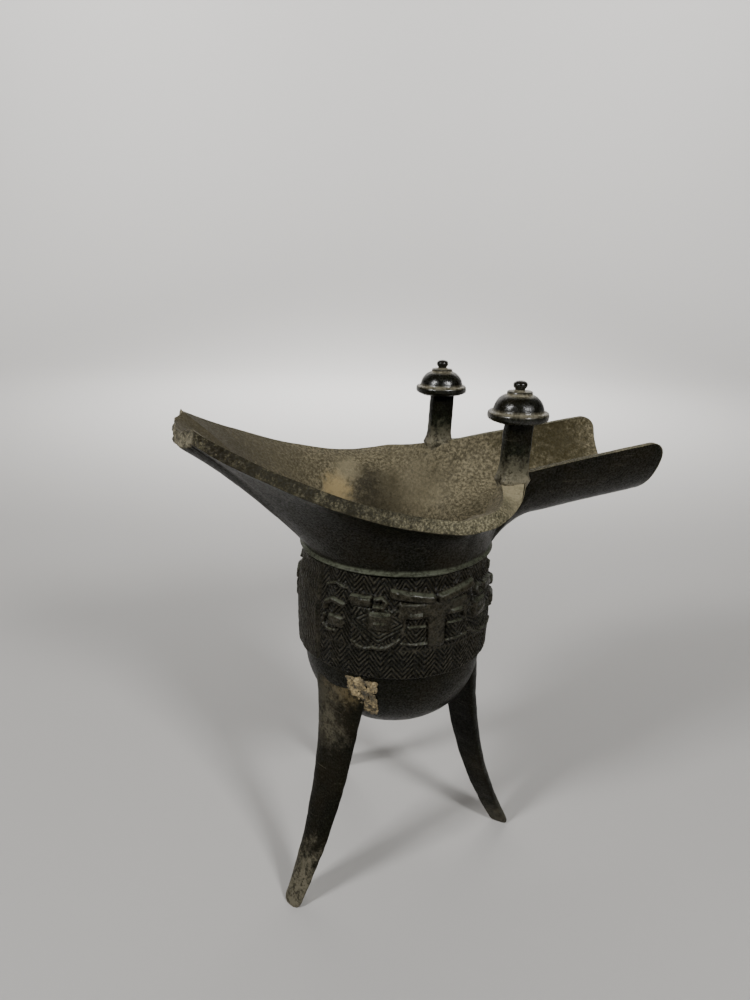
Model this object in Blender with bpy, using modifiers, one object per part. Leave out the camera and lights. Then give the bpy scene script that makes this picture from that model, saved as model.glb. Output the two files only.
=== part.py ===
"""Bronze jue: a three-legged cast wine vessel with spout, tail, posts and handle.

The model is laid out around the cup's own axis: +X towards the spout, -X towards
the tail, -Y towards the side that carries the main mask, +Z up, floor at z = 0.
At the end it is moved so that its origin is the bottom centre of its box.
"""
import math

import bmesh
import bpy
from mathutils import Vector

MM = 0.001

# Cup
NECK_RADIUS = 32.0 * MM
NECK_HEIGHT = 125.2 * MM
CUP_WALL = 3.0 * MM
BELLY_SQUARENESS = 2.1
BELLY_OUTER_SWEEP = 84.0
BELLY_INNER_SWEEP = 82.0

# Relief band round the cup, and the belly below it
BAND_HIGH = NECK_HEIGHT - 7.7 * MM
BAND_LOW = BAND_HIGH - 28.9 * MM
BAND_PROUD = 1.0 * MM
RING_PROUD = 0.6 * MM
RING_WIDTH = 1.2 * MM
NECK_WAIST = 0.9 * MM
BELLY_BOTTOM = BAND_LOW - 30.0 * MM

# Mouth, seen from above
MOUTH_HALF_WIDTH = NECK_RADIUS + 12.5 * MM
MOUTH_HEIGHT = NECK_HEIGHT + 19.8 * MM
MOUTH_WIDEST_X = 3.0 * MM
MOUTH_SIDE_X = 13.0 * MM
LIP_OUT = 2.0 * MM
LIP_DROP = 4.2 * MM
FLARE_STEPS = 7
RIB_CROWDING = 1.2

# Tail
TAIL_REACH = 71.6 * MM
TAIL_HEIGHT = MOUTH_HEIGHT + 23.6 * MM
TAIL_KEEL_HEIGHT = TAIL_HEIGHT - 7.1 * MM
TAIL_DISH = 2.4 * MM
TAIL_ROUNDING = 3.0 * MM
TAIL_BREAK = 3.4 * MM
TAIL_FULLNESS = 1.2
TAIL_BLUNTNESS = 0.47
TAIL_RISE = 1.7

# Spout
SPOUT_ROOT_X = 35.0 * MM
SPOUT_ROOT_HEIGHT = MOUTH_HEIGHT + 6.2 * MM
SPOUT_REACH = SPOUT_ROOT_X + 56.0 * MM
SPOUT_TOP = SPOUT_ROOT_HEIGHT + 6.8 * MM
SPOUT_SKEW = 3.2 * MM
SPOUT_HALF_WIDTH = NECK_RADIUS - 7.4 * MM
SPOUT_SPREAD = 0.7 * MM
SPOUT_WALL = 2.4 * MM
SPOUT_DEPTH = SPOUT_ROOT_HEIGHT - NECK_HEIGHT - 3.0 * MM
SPOUT_CORNER = 6.0 * MM
SPOUT_BEDDING = 14.0 * MM

# Posts and their caps
POST_X = SPOUT_ROOT_X - 7.6 * MM
POST_Y = SPOUT_HALF_WIDTH + 2.2 * MM
POST_WIDTH = 8.4 * MM
POST_DEPTH = 6.0 * MM
POST_LEAN = 0.9 * MM
POST_SHIFT = 0.7 * MM
POST_ROOT_HEIGHT = SPOUT_ROOT_HEIGHT - 4.7 * MM
POST_FOOT_HEIGHT = SPOUT_ROOT_HEIGHT - 1.2 * MM
CAP_HEIGHT = SPOUT_ROOT_HEIGHT + 17.8 * MM
CAP_DIAMETER = 18.4 * MM
CAP_STEPS = 18

# Legs: directions of top and foot seen from above, and reach of the foot's middle
LEG_TOP_DIRECTIONS = (211.0, 338.0, 98.0)
LEG_FOOT_DIRECTIONS = (205.2, 349.6, 98.8)
LEG_REACHES = (45.9 * MM, 46.6 * MM, 46.1 * MM)
LEG_TOP_HEIGHT = BAND_LOW - 1.2 * MM
LEG_TOP_FACE = NECK_RADIUS - 2.0 * MM
LEG_TOP_WIDTH = 23.0 * MM
LEG_SHIN_WIDTH = 18.0 * MM
LEG_FOOT_WIDTH = 7.0 * MM
LEG_TOP_DEPTH = 12.3 * MM
LEG_FOOT_DEPTH = 6.6 * MM
LEG_SWEEP = 2.25

# Handle
HANDLE_DIRECTION = 97.0
HANDLE_TOP_HEIGHT = BAND_HIGH + 0.5 * MM
HANDLE_LOW_HEIGHT = BAND_LOW + 4.4 * MM
HANDLE_REACH = 16.0 * MM
HANDLE_WIDTH = 9.0 * MM
HANDLE_THICKNESS = 4.0 * MM

# Mask
MASK_DIRECTION = -88.5
RELIEF_PROUD = 1.2 * MM


def mix(low, high, share):
    return low + (high - low) * share


def bend(start, end, lean, share):
    """A point on the curve from start to end.

    lean -1 rises first and then runs out, 0 is straight, +1 runs out first.
    """
    out = 2 * share * (1 - share) * (0.5 + 0.5 * lean) + share * share
    up = 2 * share * (1 - share) * (0.5 - 0.5 * lean) + share * share
    return Vector((mix(start.x, end.x, out), mix(start.y, end.y, out), mix(start.z, end.z, up)))


def mouth_half_width(x):
    """Half-width of the mouth's inner edge at x, from the tail's end to its widest place."""
    share = min(abs(x - MOUTH_WIDEST_X) / (TAIL_REACH + MOUTH_WIDEST_X + TAIL_ROUNDING), 1.0)
    return MOUTH_HALF_WIDTH * (1 - share ** TAIL_FULLNESS) ** TAIL_BLUNTNESS


def rim_height(x):
    """Height of the mouth's inner edge at x."""
    if x < MOUTH_WIDEST_X:
        share = (MOUTH_WIDEST_X - x) / (TAIL_REACH - TAIL_BREAK + MOUTH_WIDEST_X)
        return mix(MOUTH_HEIGHT, TAIL_HEIGHT, share ** TAIL_RISE)
    if x < SPOUT_ROOT_X:
        share = (x - MOUTH_WIDEST_X) / (SPOUT_ROOT_X - MOUTH_WIDEST_X)
        return mix(MOUTH_HEIGHT, SPOUT_ROOT_HEIGHT, share ** 1.6)
    share = (x - SPOUT_ROOT_X) / (SPOUT_REACH - SPOUT_ROOT_X)
    return mix(SPOUT_ROOT_HEIGHT, SPOUT_TOP, share ** 0.9)


def spout_section(x, angle, inset):
    """A point of the spout's trough: 0 degrees at its keel, 90 at the top of its wall."""
    turn = math.radians(angle)
    root = max(0.0, (SPOUT_REACH - x) / (SPOUT_REACH - SPOUT_ROOT_X))
    half = SPOUT_HALF_WIDTH + SPOUT_SPREAD * root - inset
    top = rim_height(max(x, SPOUT_ROOT_X))
    return Vector((x, half * math.sin(turn), top - (SPOUT_DEPTH - inset) * math.cos(turn)))


def spout_end(share):
    """Rim along the spout's end, from its keel up to its top corner."""
    angle = 90 * math.sin(math.radians(90) * share)
    rims = []
    for inset in (0.0, SPOUT_WALL):
        height = spout_section(SPOUT_REACH, angle, inset).z
        over = max(0.0, (height - SPOUT_TOP + SPOUT_CORNER) / SPOUT_CORNER)
        back = SPOUT_CORNER * (1 - math.sqrt(max(0.0, 1 - over * over)))
        rims.append(spout_section(SPOUT_REACH - back, angle, inset))
    return rims[0], rims[1], -0.2, angle, 1.0


def spout_wall(share):
    """Rim along the top of the spout's wall, from its corner to its root."""
    x = mix(SPOUT_REACH - SPOUT_CORNER * 1.6, SPOUT_ROOT_X, share)
    outer = spout_section(x, 90, 0.0)
    inner = spout_section(x, 90, SPOUT_WALL)
    return outer, inner, -0.2, 90, min(1.0, (1 - share) * 4)


def along(points, share):
    """A point at a share of the smooth curve through the given points."""
    place = share * (len(points) - 1)
    index = min(int(place), len(points) - 2)
    t = place - index
    before = points[max(index - 1, 0)]
    start = points[index]
    end = points[index + 1]
    after = points[min(index + 2, len(points) - 1)]
    return 0.5 * (
        2 * start + (end - before) * t + (2 * before - 5 * start + 4 * end - after) * t * t
        + (3 * start - before - 3 * end + after) * t * t * t
    )


# Points round the corner below a post, as shares of the way from the spout's root
# to the mouth's side: along X, along Y and in height
CORNER_OUTER = (
    (0.0, 0.0, 0.0), (0.12, 0.13, 0.08), (0.22, 0.33, 0.25),
    (0.42, 0.60, 0.57), (0.69, 0.81, 0.84), (1.0, 1.0, 1.0),
)
CORNER_INNER = (
    (0.05, 0.0, 0.0), (0.33, 0.03, 0.08), (0.51, 0.20, 0.26),
    (0.66, 0.55, 0.63), (0.82, 0.83, 0.87), (1.0, 1.0, 1.0),
)


def post_corner(share):
    """Rim round the corner below the post, from the spout's root to the mouth's side."""
    rims = []
    for shares, inset, out, drop in (
        (CORNER_OUTER, 0.0, LIP_OUT, LIP_DROP), (CORNER_INNER, SPOUT_WALL, 0.0, 0.0),
    ):
        root = spout_section(SPOUT_ROOT_X - 1.0 * MM, 90, inset)
        side = Vector((
            MOUTH_SIDE_X,
            mouth_half_width(MOUTH_SIDE_X) + out,
            rim_height(MOUTH_SIDE_X) - drop,
        ))
        points = [
            Vector((mix(root.x, side.x, a), mix(root.y, side.y, b), mix(root.z, side.z, c)))
            for a, b, c in shares
        ]
        rims.append(along(points, share))
    return rims[0], rims[1], mix(-0.2, -0.6, share), 90, 0.0


def bowl_side(share):
    """Rim from the mouth's side to the tail's broken end."""
    x = mix(MOUTH_SIDE_X - 5.0 * MM, TAIL_BREAK + 1.6 * MM - TAIL_REACH, share)
    inner = Vector((x, mouth_half_width(x), rim_height(x)))
    outer = inner + Vector((-0.5 * MM * share, LIP_OUT, -mix(LIP_DROP, LIP_DROP * 0.85, share)))
    return outer, inner, mix(-0.75, -0.15, share ** 0.7), 90, 0.0


def tail_end(share):
    """Rim along the broken end of the tail, down to its keel."""
    angle = math.radians(90) * share
    half = mouth_half_width(TAIL_BREAK - TAIL_REACH)
    low = TAIL_HEIGHT - LIP_DROP
    back = TAIL_BREAK * math.cos(angle) ** 2 + 0.4 * MM * math.sin(6.0 * angle)
    outer = Vector((
        back - TAIL_REACH,
        (half + LIP_OUT) * math.cos(angle) ** 1.1,
        mix(low, TAIL_KEEL_HEIGHT, math.sin(angle)),
    ))
    inner = Vector((
        back + 0.8 * MM - TAIL_REACH,
        half * math.cos(angle) ** 1.1,
        TAIL_HEIGHT - TAIL_DISH * math.sin(angle),
    ))
    return outer, inner, -0.12, 90, 0.0


# Stretches of the half rim: shape, neck angles at both ends, number of ribs
RIM_STRETCHES = (
    (spout_end, 0.0, 18.0, 7),
    (spout_wall, 21.0, 40.0, 7),
    (post_corner, 43.0, 66.0, 7),
    (bowl_side, 71.0, 170.0, 15),
    (tail_end, 173.0, 180.0, 5),
)


def half_ribs():
    """Neck angle, outer and inner rim points, lean, trough angle and trough share of each rib."""
    ribs = []
    for shape, first, last, count in RIM_STRETCHES:
        for step in range(count):
            share = step / (count - 1)
            ribs.append((mix(first, last, share),) + shape(share))
    return ribs


def rib_path(neck, end, lean, angle, trough, inset):
    """Points from the neck to the rim: a free curve, or one that lies in the spout's trough."""
    side = SPOUT_HALF_WIDTH + SPOUT_SPREAD - inset
    start_angle = math.degrees(math.asin(min(1.0, abs(neck.y) / side)))
    below = neck - spout_section(neck.x, start_angle, inset)
    path = []
    for step in range(1, FLARE_STEPS + 1):
        share = (step / FLARE_STEPS) ** RIB_CROWDING
        point = bend(neck, end, lean, share)
        if trough > 0:
            x = mix(neck.x, end.x, share)
            rising = max(0.0, 1 - max(share, (x - neck.x) / SPOUT_BEDDING))
            lying = spout_section(x, mix(start_angle, angle, share), inset) + below * rising ** 2
            point = point.lerp(lying, trough)
        path.append(point)
    return path


def skewed(point):
    """The spout's end is a little askew: its far side reaches further than its near side."""
    along_spout = max(0.0, (point.x - SPOUT_ROOT_X) / (SPOUT_REACH - SPOUT_ROOT_X))
    return point + Vector((SPOUT_SKEW * along_spout * point.y / SPOUT_HALF_WIDTH, 0, 0))


def all_ribs(radius, height, which, inset):
    """Paths from the neck to the rim all the way round, the half at +Y and its mirror image."""
    paths = []
    for rib in half_ribs():
        neck = on_circle(radius, rib[0], height)
        paths.append((rib[0], rib_path(neck, rib[which], rib[3], rib[4], rib[5], inset)))
    for angle, path in reversed(paths[1:-1]):
        paths.append((360 - angle, [Vector((point.x, -point.y, point.z)) for point in path]))
    return [(angle, [skewed(point) for point in path]) for angle, path in paths]


def cup_outside():
    """Radius and height down the cup's outside, from neck to belly."""
    band = NECK_RADIUS + BAND_PROUD
    ring_top = NECK_HEIGHT - 0.6 * MM
    ring_low = ring_top - RING_WIDTH
    profile = [
        (NECK_RADIUS, NECK_HEIGHT),
        (NECK_RADIUS + RING_PROUD, ring_top),
        (NECK_RADIUS + RING_PROUD, ring_low),
        (NECK_RADIUS - NECK_WAIST, ring_low - 0.9 * MM),
        (NECK_RADIUS - NECK_WAIST, BAND_HIGH),
        (mix(NECK_RADIUS, band, 0.2), mix(BAND_HIGH, BAND_LOW, 0.12)),
        (band, mix(BAND_HIGH, BAND_LOW, 0.38)),
        (band + 0.1 * MM, mix(BAND_HIGH, BAND_LOW, 0.7)),
        (band - 0.4 * MM, BAND_LOW),
    ]
    belly = NECK_RADIUS - 0.9 * MM
    start = BAND_LOW - 1.0 * MM
    for step in range(9):
        angle = math.radians(mix(0, BELLY_OUTER_SWEEP, step / 8))
        radius = belly * math.cos(angle) ** (2 / BELLY_SQUARENESS)
        height = start - (start - BELLY_BOTTOM) * math.sin(angle) ** (2 / BELLY_SQUARENESS)
        profile.append((radius, height))
    return profile


def cup_inside():
    """Radius and height down the cup's inside, from neck to belly."""
    inner = NECK_RADIUS - CUP_WALL
    top = NECK_HEIGHT + CUP_WALL * 0.6
    start = BAND_LOW - 1.0 * MM
    floor = BELLY_BOTTOM + CUP_WALL
    profile = [(inner, top), (inner, mix(top, start, 0.5))]
    for step in range(7):
        angle = math.radians(mix(0, BELLY_INNER_SWEEP, step / 6))
        radius = inner * math.cos(angle) ** (2 / BELLY_SQUARENESS)
        height = start - (start - floor) * math.sin(angle) ** (2 / BELLY_SQUARENESS)
        profile.append((radius, height))
    return profile


def loft(rings, first_pole=None, last_pole=None):
    """A mesh through closed rings of the same count, with a point or a flat cap at each end."""
    mesh = bmesh.new()
    loops = [[mesh.verts.new(point) for point in ring] for ring in rings]
    count = len(loops[0])
    for low, high in zip(loops, loops[1:]):
        for here in range(count):
            there = (here + 1) % count
            mesh.faces.new((low[here], low[there], high[there], high[here]))
    for loop, pole, turn in ((loops[0], first_pole, True), (loops[-1], last_pole, False)):
        if pole is None:
            mesh.faces.new(reversed(loop) if turn else loop)
            continue
        tip = mesh.verts.new(pole)
        for here in range(count):
            there = (here + 1) % count
            pair = (loop[there], loop[here]) if turn else (loop[here], loop[there])
            mesh.faces.new((pair[0], pair[1], tip))
    bmesh.ops.recalc_face_normals(mesh, faces=mesh.faces)
    return mesh


def make_object(name, mesh, collection):
    data = bpy.data.meshes.new(name)
    mesh.to_mesh(data)
    mesh.free()
    made = bpy.data.objects.new(name, data)
    collection.objects.link(made)
    return made


def on_circle(radius, angle, height):
    turn = math.radians(angle)
    return Vector((radius * math.cos(turn), radius * math.sin(turn), height))


def vessel_shell(collection):
    """Cup, mouth, spout and tail as one closed shell with its true wall."""
    outside = cup_outside()
    inside = cup_inside()
    outer_ribs = all_ribs(outside[0][0], outside[0][1], 1, 0.0)
    inner_ribs = all_ribs(inside[0][0], inside[0][1], 2, SPOUT_WALL)
    rings = []
    for radius, height in reversed(outside):
        rings.append([on_circle(radius, angle, height) for angle, path in outer_ribs])
    for step in range(FLARE_STEPS):
        rings.append([path[step] for angle, path in outer_ribs])
    for step in reversed(range(FLARE_STEPS)):
        rings.append([path[step] for angle, path in inner_ribs])
    for radius, height in inside:
        rings.append([on_circle(radius, angle, height) for angle, path in inner_ribs])
    under = Vector((0, 0, BELLY_BOTTOM))
    floor = Vector((0, 0, BELLY_BOTTOM + CUP_WALL))
    return make_object("jue_vessel", loft(rings, under, floor), collection)


def blade_leg(index, collection):
    """A leg with a broad outer face and a ridge inside, curving out to a small flat foot."""
    steps = 16
    rings = []
    for step in range(steps + 1):
        share = step / steps
        sweep = share ** LEG_SWEEP
        height = LEG_TOP_HEIGHT * (1 - share)
        turn = math.radians(mix(LEG_TOP_DIRECTIONS[index], LEG_FOOT_DIRECTIONS[index], share))
        out = Vector((math.cos(turn), math.sin(turn), 0))
        side = Vector((-out.y, out.x, 0))
        face = mix(LEG_TOP_FACE, LEG_REACHES[index] + LEG_FOOT_DEPTH / 2, sweep)
        depth = mix(LEG_TOP_DEPTH, LEG_FOOT_DEPTH, share)
        shin = mix(LEG_TOP_WIDTH, LEG_SHIN_WIDTH, min(1.0, share * 4) ** 0.6)
        width = mix(shin, LEG_FOOT_WIDTH, max(0.0, share - 0.12) / 0.88)
        centre = out * (face - depth / 2) + Vector((0, 0, height))
        section = (
            (0.5, 0.3), (0.5, -0.3), (0.34, -0.5), (0.16, -0.5), (-0.42, -0.14),
            (-0.5, 0.0), (-0.42, 0.14), (0.16, 0.5), (0.34, 0.5),
        )
        rings.append([centre + out * depth * a + side * width * b for a, b in section])
    return make_object("leg", loft(rings), collection)


def wall_core(collection):
    """The cup up to the middle of its wall, which nothing fused to its outside reaches past."""
    around = [360 * step / 48 for step in range(48)]
    half_wall = CUP_WALL / 2
    rings = []
    for radius, height in cup_inside():
        low = BELLY_BOTTOM + CUP_WALL
        drop = half_wall * max(0.0, 1 - (height - low) / (BAND_LOW - low))
        rings.append([on_circle(radius + half_wall, angle, height - drop) for angle in around])
    under = Vector((0, 0, BELLY_BOTTOM + half_wall))
    return make_object("wall_core", loft(rings, None, under), collection)


def post(side, collection):
    """A faceted post on the rim's corner, leaning a little towards the spout."""
    section = (
        (0.5, 0.28), (0.28, 0.5), (-0.28, 0.5), (-0.5, 0.3),
        (-0.5, -0.3), (-0.28, -0.5), (0.28, -0.5), (0.5, -0.28),
    )
    rings = []
    levels = ((POST_ROOT_HEIGHT, 0.35), (POST_FOOT_HEIGHT, 1.0), (CAP_HEIGHT + 1.0 * MM, 1.05))
    for height, swell in levels:
        lean = (height - CAP_HEIGHT) / (CAP_HEIGHT - POST_FOOT_HEIGHT)
        centre = Vector((POST_X + POST_SHIFT + POST_LEAN * lean, side * POST_Y, height))
        rings.append([
            centre + Vector((POST_WIDTH * a * swell, POST_DEPTH * b * swell, 0)) for a, b in section
        ])
    return make_object("post", loft(rings), collection)


def cap(side, collection):
    """The post's cap: brim, dome, collar and finial, turned as one profile."""
    brim = CAP_DIAMETER / 2
    profile = [
        (0.0, 11.4), (0.13, 11.2), (0.22, 10.4), (0.235, 9.4), (0.17, 8.5),
        (0.39, 8.2), (0.41, 7.4), (0.44, 7.0), (0.66, 6.0), (0.78, 4.4), (0.83, 2.7),
        (0.86, 2.3), (0.98, 2.2), (1.0, 1.4), (0.99, 0.2), (0.86, -0.8), (0.52, -1.5), (0.0, -1.5),
    ]
    mesh = bpy.data.meshes.new("cap")
    made = bpy.data.objects.new("cap", mesh)
    collection.objects.link(made)
    points = bmesh.new()
    previous = None
    for share, rise in profile:
        vertex = points.verts.new((brim * share, 0, rise * MM))
        if previous is not None:
            points.edges.new((previous, vertex))
        previous = vertex
    points.to_mesh(mesh)
    points.free()
    made.location = (POST_X, side * POST_Y, CAP_HEIGHT)
    turn = made.modifiers.new("turn", "SCREW")
    turn.steps = CAP_STEPS
    turn.render_steps = CAP_STEPS
    turn.use_merge_vertices = True
    turn.merge_threshold = 0.00001
    return made


def handle(collection):
    """A strap loop on the side away from the main mask."""
    direction = math.radians(HANDLE_DIRECTION)
    out = Vector((math.cos(direction), math.sin(direction), 0))
    side = Vector((-out.y, out.x, 0))
    up = Vector((0, 0, 1))
    root = NECK_RADIUS - CUP_WALL * 0.5
    rings = []
    steps = 12
    middle = mix(HANDLE_TOP_HEIGHT, HANDLE_LOW_HEIGHT, 0.5)
    half = (HANDLE_TOP_HEIGHT - HANDLE_LOW_HEIGHT) / 2
    for step in range(steps + 1):
        angle = math.radians(mix(90, -90, step / steps))
        reach = root + (HANDLE_REACH + CUP_WALL) * math.cos(angle) ** 0.6
        centre = out * reach + up * (middle + half * math.sin(angle))
        normal = (out * math.cos(angle) + up * math.sin(angle)).normalized()
        section = ((0.5, 0.36), (0.5, -0.36), (0.2, -0.5), (-0.5, -0.5), (-0.5, 0.5), (0.2, 0.5))
        rings.append([
            centre + normal * HANDLE_THICKNESS * a + side * HANDLE_WIDTH * b for a, b in section
        ])
    return make_object("handle", loft(rings), collection)


def relief_block(first, last, low, high, collection):
    """A raised block of the mask that follows the band's curve."""
    base = NECK_RADIUS + BAND_PROUD
    columns = max(2, round(abs(last - first) / 7) + 1)
    mesh = bmesh.new()
    bmesh.ops.create_grid(mesh, x_segments=columns - 1, y_segments=1, size=0.5)
    lid = list(mesh.faces)
    extruded = bmesh.ops.extrude_face_region(mesh, geom=lid)
    raised = {item for item in extruded["geom"] if isinstance(item, bmesh.types.BMVert)}
    inset = 0.45 * MM
    arc = math.degrees(inset / base)
    for vertex in mesh.verts:
        across = vertex.co.x + 0.5
        along = vertex.co.y + 0.5
        if vertex in raised:
            angle = mix(first + arc, last - arc, across)
            height = mix(low + inset, high - inset, along)
            vertex.co = on_circle(base + RELIEF_PROUD, angle, height)
        else:
            angle = mix(first, last, across)
            height = mix(low, high, along)
            vertex.co = on_circle(base - 0.8 * MM, angle, height)
    bmesh.ops.recalc_face_normals(mesh, faces=mesh.faces)
    return make_object("relief", mesh, collection)


# Blocks of half a mask: angles from its middle, and heights as shares of the band
NOSE = (-4.8, 4.8, 0.33, 0.86)
MASK_HALF = (
    (5.5, 26.0, 0.86, 1.0),
    (7.0, 17.0, 0.68, 0.82),
    (6.0, 22.0, 0.38, 0.62),
    (25.5, 37.0, 0.59, 0.76),
    (28.5, 48.0, 0.86, 0.96),
    (19.0, 43.0, 0.34, 0.46),
    (51.0, 58.0, 0.42, 0.90),
    (58.5, 65.0, 0.54, 0.76),
)


# The side with the handle carries fewer of them
MASK_BACK = (MASK_HALF[3], MASK_HALF[4], MASK_HALF[6])


def mask(middle, blocks, collection):
    """Blocks given as angles from the middle and shares of the band's height."""
    height = BAND_HIGH - BAND_LOW
    made = []
    for first, last, low, high in blocks:
        made.append(relief_block(
            middle + first, middle + last, BAND_LOW + low * height, BAND_LOW + high * height, collection
        ))
    return made


def mirrored(blocks):
    return tuple((-last, -first, low, high) for first, last, low, high in blocks)


def combine(target, other, operation):
    """Apply a Boolean of another piece to the target."""
    step = target.modifiers.new("combine", "BOOLEAN")
    step.operation = operation
    step.solver = "EXACT"
    step.object = other
    depsgraph = bpy.context.evaluated_depsgraph_get()
    made = bpy.data.meshes.new_from_object(target.evaluated_get(depsgraph))
    target.modifiers.clear()
    target.data = made


def union(target, other):
    """Fuse another piece into the target and clear it away."""
    combine(target, other, "UNION")
    bpy.data.objects.remove(other)


def stand_on_origin(vessel):
    """Put the origin at the middle of the box's underside, where the feet rest."""
    corners = [Vector(corner) for corner in vessel.bound_box]
    low = Vector([min(corner[axis] for corner in corners) for axis in range(3)])
    high = Vector([max(corner[axis] for corner in corners) for axis in range(3)])
    middle = (low + high) / 2
    for vertex in vessel.data.vertices:
        vertex.co -= Vector((middle.x, middle.y, low.z))


def bronze():
    material = bpy.data.materials.new("bronze")
    material.use_nodes = True
    shader = material.node_tree.nodes["Principled BSDF"]
    shader.inputs["Base Color"].default_value = (0.045, 0.043, 0.035, 1)
    shader.inputs["Metallic"].default_value = 0.6
    shader.inputs["Roughness"].default_value = 0.42
    return material


def main():
    for old in list(bpy.data.objects):
        bpy.data.objects.remove(old)
    collection = bpy.data.collections.new("jue")
    bpy.context.scene.collection.children.link(collection)
    vessel = vessel_shell(collection)
    core = wall_core(collection)
    for index in range(len(LEG_REACHES)):
        leg = blade_leg(index, collection)
        combine(leg, core, "DIFFERENCE")
        union(vessel, leg)
    for side in (-1, 1):
        union(vessel, post(side, collection))
        union(vessel, cap(side, collection))
    loop = handle(collection)
    combine(loop, core, "DIFFERENCE")
    union(vessel, loop)
    bpy.data.objects.remove(core)
    relief = mask(MASK_DIRECTION, (NOSE,) + MASK_HALF + mirrored(MASK_HALF), collection)
    relief += mask(HANDLE_DIRECTION, MASK_BACK + mirrored(MASK_BACK), collection)
    for block in relief:
        union(vessel, block)
    stand_on_origin(vessel)
    vessel.data.shade_smooth()
    vessel.data.set_sharp_from_angle(angle=math.radians(32))
    vessel.data.materials.append(bronze())


main()
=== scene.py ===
"""Bronze jue: the finished look of the cast vessel and a plain studio round it.

Laid out as a Blender add-on and run as a script. The vessel stands as its solids do:
+X from the tail to the spout, -Y the side with the main mask, +Z up, feet at z = 0.
"""
import math

import bmesh
import bpy
import numpy as np
from bpy.props import FloatProperty, FloatVectorProperty, IntProperty, PointerProperty
from mathutils import Matrix, Vector


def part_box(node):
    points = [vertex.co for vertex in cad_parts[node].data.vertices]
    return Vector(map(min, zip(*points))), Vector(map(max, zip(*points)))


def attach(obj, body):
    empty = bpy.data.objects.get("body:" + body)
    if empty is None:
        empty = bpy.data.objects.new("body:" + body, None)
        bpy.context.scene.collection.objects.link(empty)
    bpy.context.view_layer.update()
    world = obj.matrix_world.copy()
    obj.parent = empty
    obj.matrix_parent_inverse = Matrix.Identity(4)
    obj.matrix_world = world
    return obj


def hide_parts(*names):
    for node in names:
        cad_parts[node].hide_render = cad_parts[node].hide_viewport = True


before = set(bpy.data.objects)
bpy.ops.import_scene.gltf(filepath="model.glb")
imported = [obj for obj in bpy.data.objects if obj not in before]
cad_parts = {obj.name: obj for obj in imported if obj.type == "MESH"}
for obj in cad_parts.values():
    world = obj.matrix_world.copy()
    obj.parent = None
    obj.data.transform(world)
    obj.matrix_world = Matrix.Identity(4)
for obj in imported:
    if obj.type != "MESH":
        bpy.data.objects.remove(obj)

bl_info = {
    "name": "Bronze jue",
    "version": (1, 0, 0),
    "blender": (4, 5, 0),
    "location": "3D View > Sidebar > Jue",
    "description": "A three-legged cast bronze wine vessel with its patina",
    "category": "Object",
}

MM = 0.001
LOW, HIGH = (Vector(corner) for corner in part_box("jue_vessel"))

# Cup
NECK_RADIUS = 32.0 * MM
NECK_HEIGHT = 125.2 * MM
CUP_WALL = 3.0 * MM
BELLY_SQUARENESS = 2.1
BAND_TOP = NECK_HEIGHT - 2.7 * MM
BAND_HIGH = NECK_HEIGHT - 7.7 * MM
BAND_LOW = BAND_HIGH - 28.9 * MM
BELLY_TOP = BAND_LOW - 1.0 * MM
BELLY_BOTTOM = BAND_LOW - 30.0 * MM

# Mouth and tail
MOUTH_HALF_WIDTH = NECK_RADIUS + 12.5 * MM
MOUTH_HEIGHT = NECK_HEIGHT + 19.8 * MM
MOUTH_WIDEST_X = 3.0 * MM
MOUTH_SIDE_X = 13.0 * MM
LIP_OUT = 2.0 * MM
LIP_DROP = 4.2 * MM
TAIL_REACH = 71.6 * MM
TAIL_HEIGHT = MOUTH_HEIGHT + 23.6 * MM
TAIL_KEEL_HEIGHT = TAIL_HEIGHT - 7.1 * MM
TAIL_DISH = 2.4 * MM
TAIL_ROUNDING = 3.0 * MM
TAIL_BREAK = 3.4 * MM
TAIL_FULLNESS = 1.2
TAIL_BLUNTNESS = 0.47
TAIL_RISE = 1.7

# Spout
SPOUT_ROOT_X = 35.0 * MM
SPOUT_ROOT_HEIGHT = MOUTH_HEIGHT + 6.2 * MM
SPOUT_REACH = SPOUT_ROOT_X + 56.0 * MM
SPOUT_TOP = SPOUT_ROOT_HEIGHT + 6.8 * MM
SPOUT_SKEW = 3.2 * MM
SPOUT_HALF_WIDTH = NECK_RADIUS - 7.4 * MM
SPOUT_SPREAD = 0.7 * MM
SPOUT_WALL = 2.4 * MM
SPOUT_DEPTH = SPOUT_ROOT_HEIGHT - NECK_HEIGHT - 3.0 * MM
SPOUT_CORNER = 6.0 * MM
SPOUT_BEDDING = 14.0 * MM

# Posts, legs and handle
POST_X = SPOUT_ROOT_X - 7.6 * MM
POST_Y = SPOUT_HALF_WIDTH + 2.2 * MM
POST_WIDTH = 8.4 * MM
POST_DEPTH = 6.0 * MM
POST_FOOT_HEIGHT = SPOUT_ROOT_HEIGHT - 1.2 * MM
CAP_HEIGHT = SPOUT_ROOT_HEIGHT + 17.8 * MM
CAP_RADIUS = 9.2 * MM
LEG_TOP_DIRECTIONS = (211.0, 338.0, 98.0)
LEG_FOOT_DIRECTIONS = (205.2, 349.6, 98.8)
LEG_REACHES = (45.9 * MM, 46.6 * MM, 46.1 * MM)
LEG_TOP_HEIGHT = BAND_LOW - 1.2 * MM
LEG_TOP_FACE = NECK_RADIUS - 2.0 * MM
LEG_TOP_WIDTH = 23.0 * MM
LEG_SHIN_WIDTH = 18.0 * MM
LEG_FOOT_WIDTH = 7.0 * MM
LEG_TOP_DEPTH = 12.3 * MM
LEG_FOOT_DEPTH = 6.6 * MM
LEG_SWEEP = 2.25
HANDLE_DIRECTION = 97.0
HANDLE_TOP_HEIGHT = BAND_HIGH + 0.5 * MM
HANDLE_LOW_HEIGHT = BAND_LOW + 4.4 * MM
HANDLE_REACH = 16.0 * MM
HANDLE_WIDTH = 9.0 * MM
HANDLE_THICKNESS = 4.0 * MM

MASK_DIRECTION = -88.5

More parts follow.
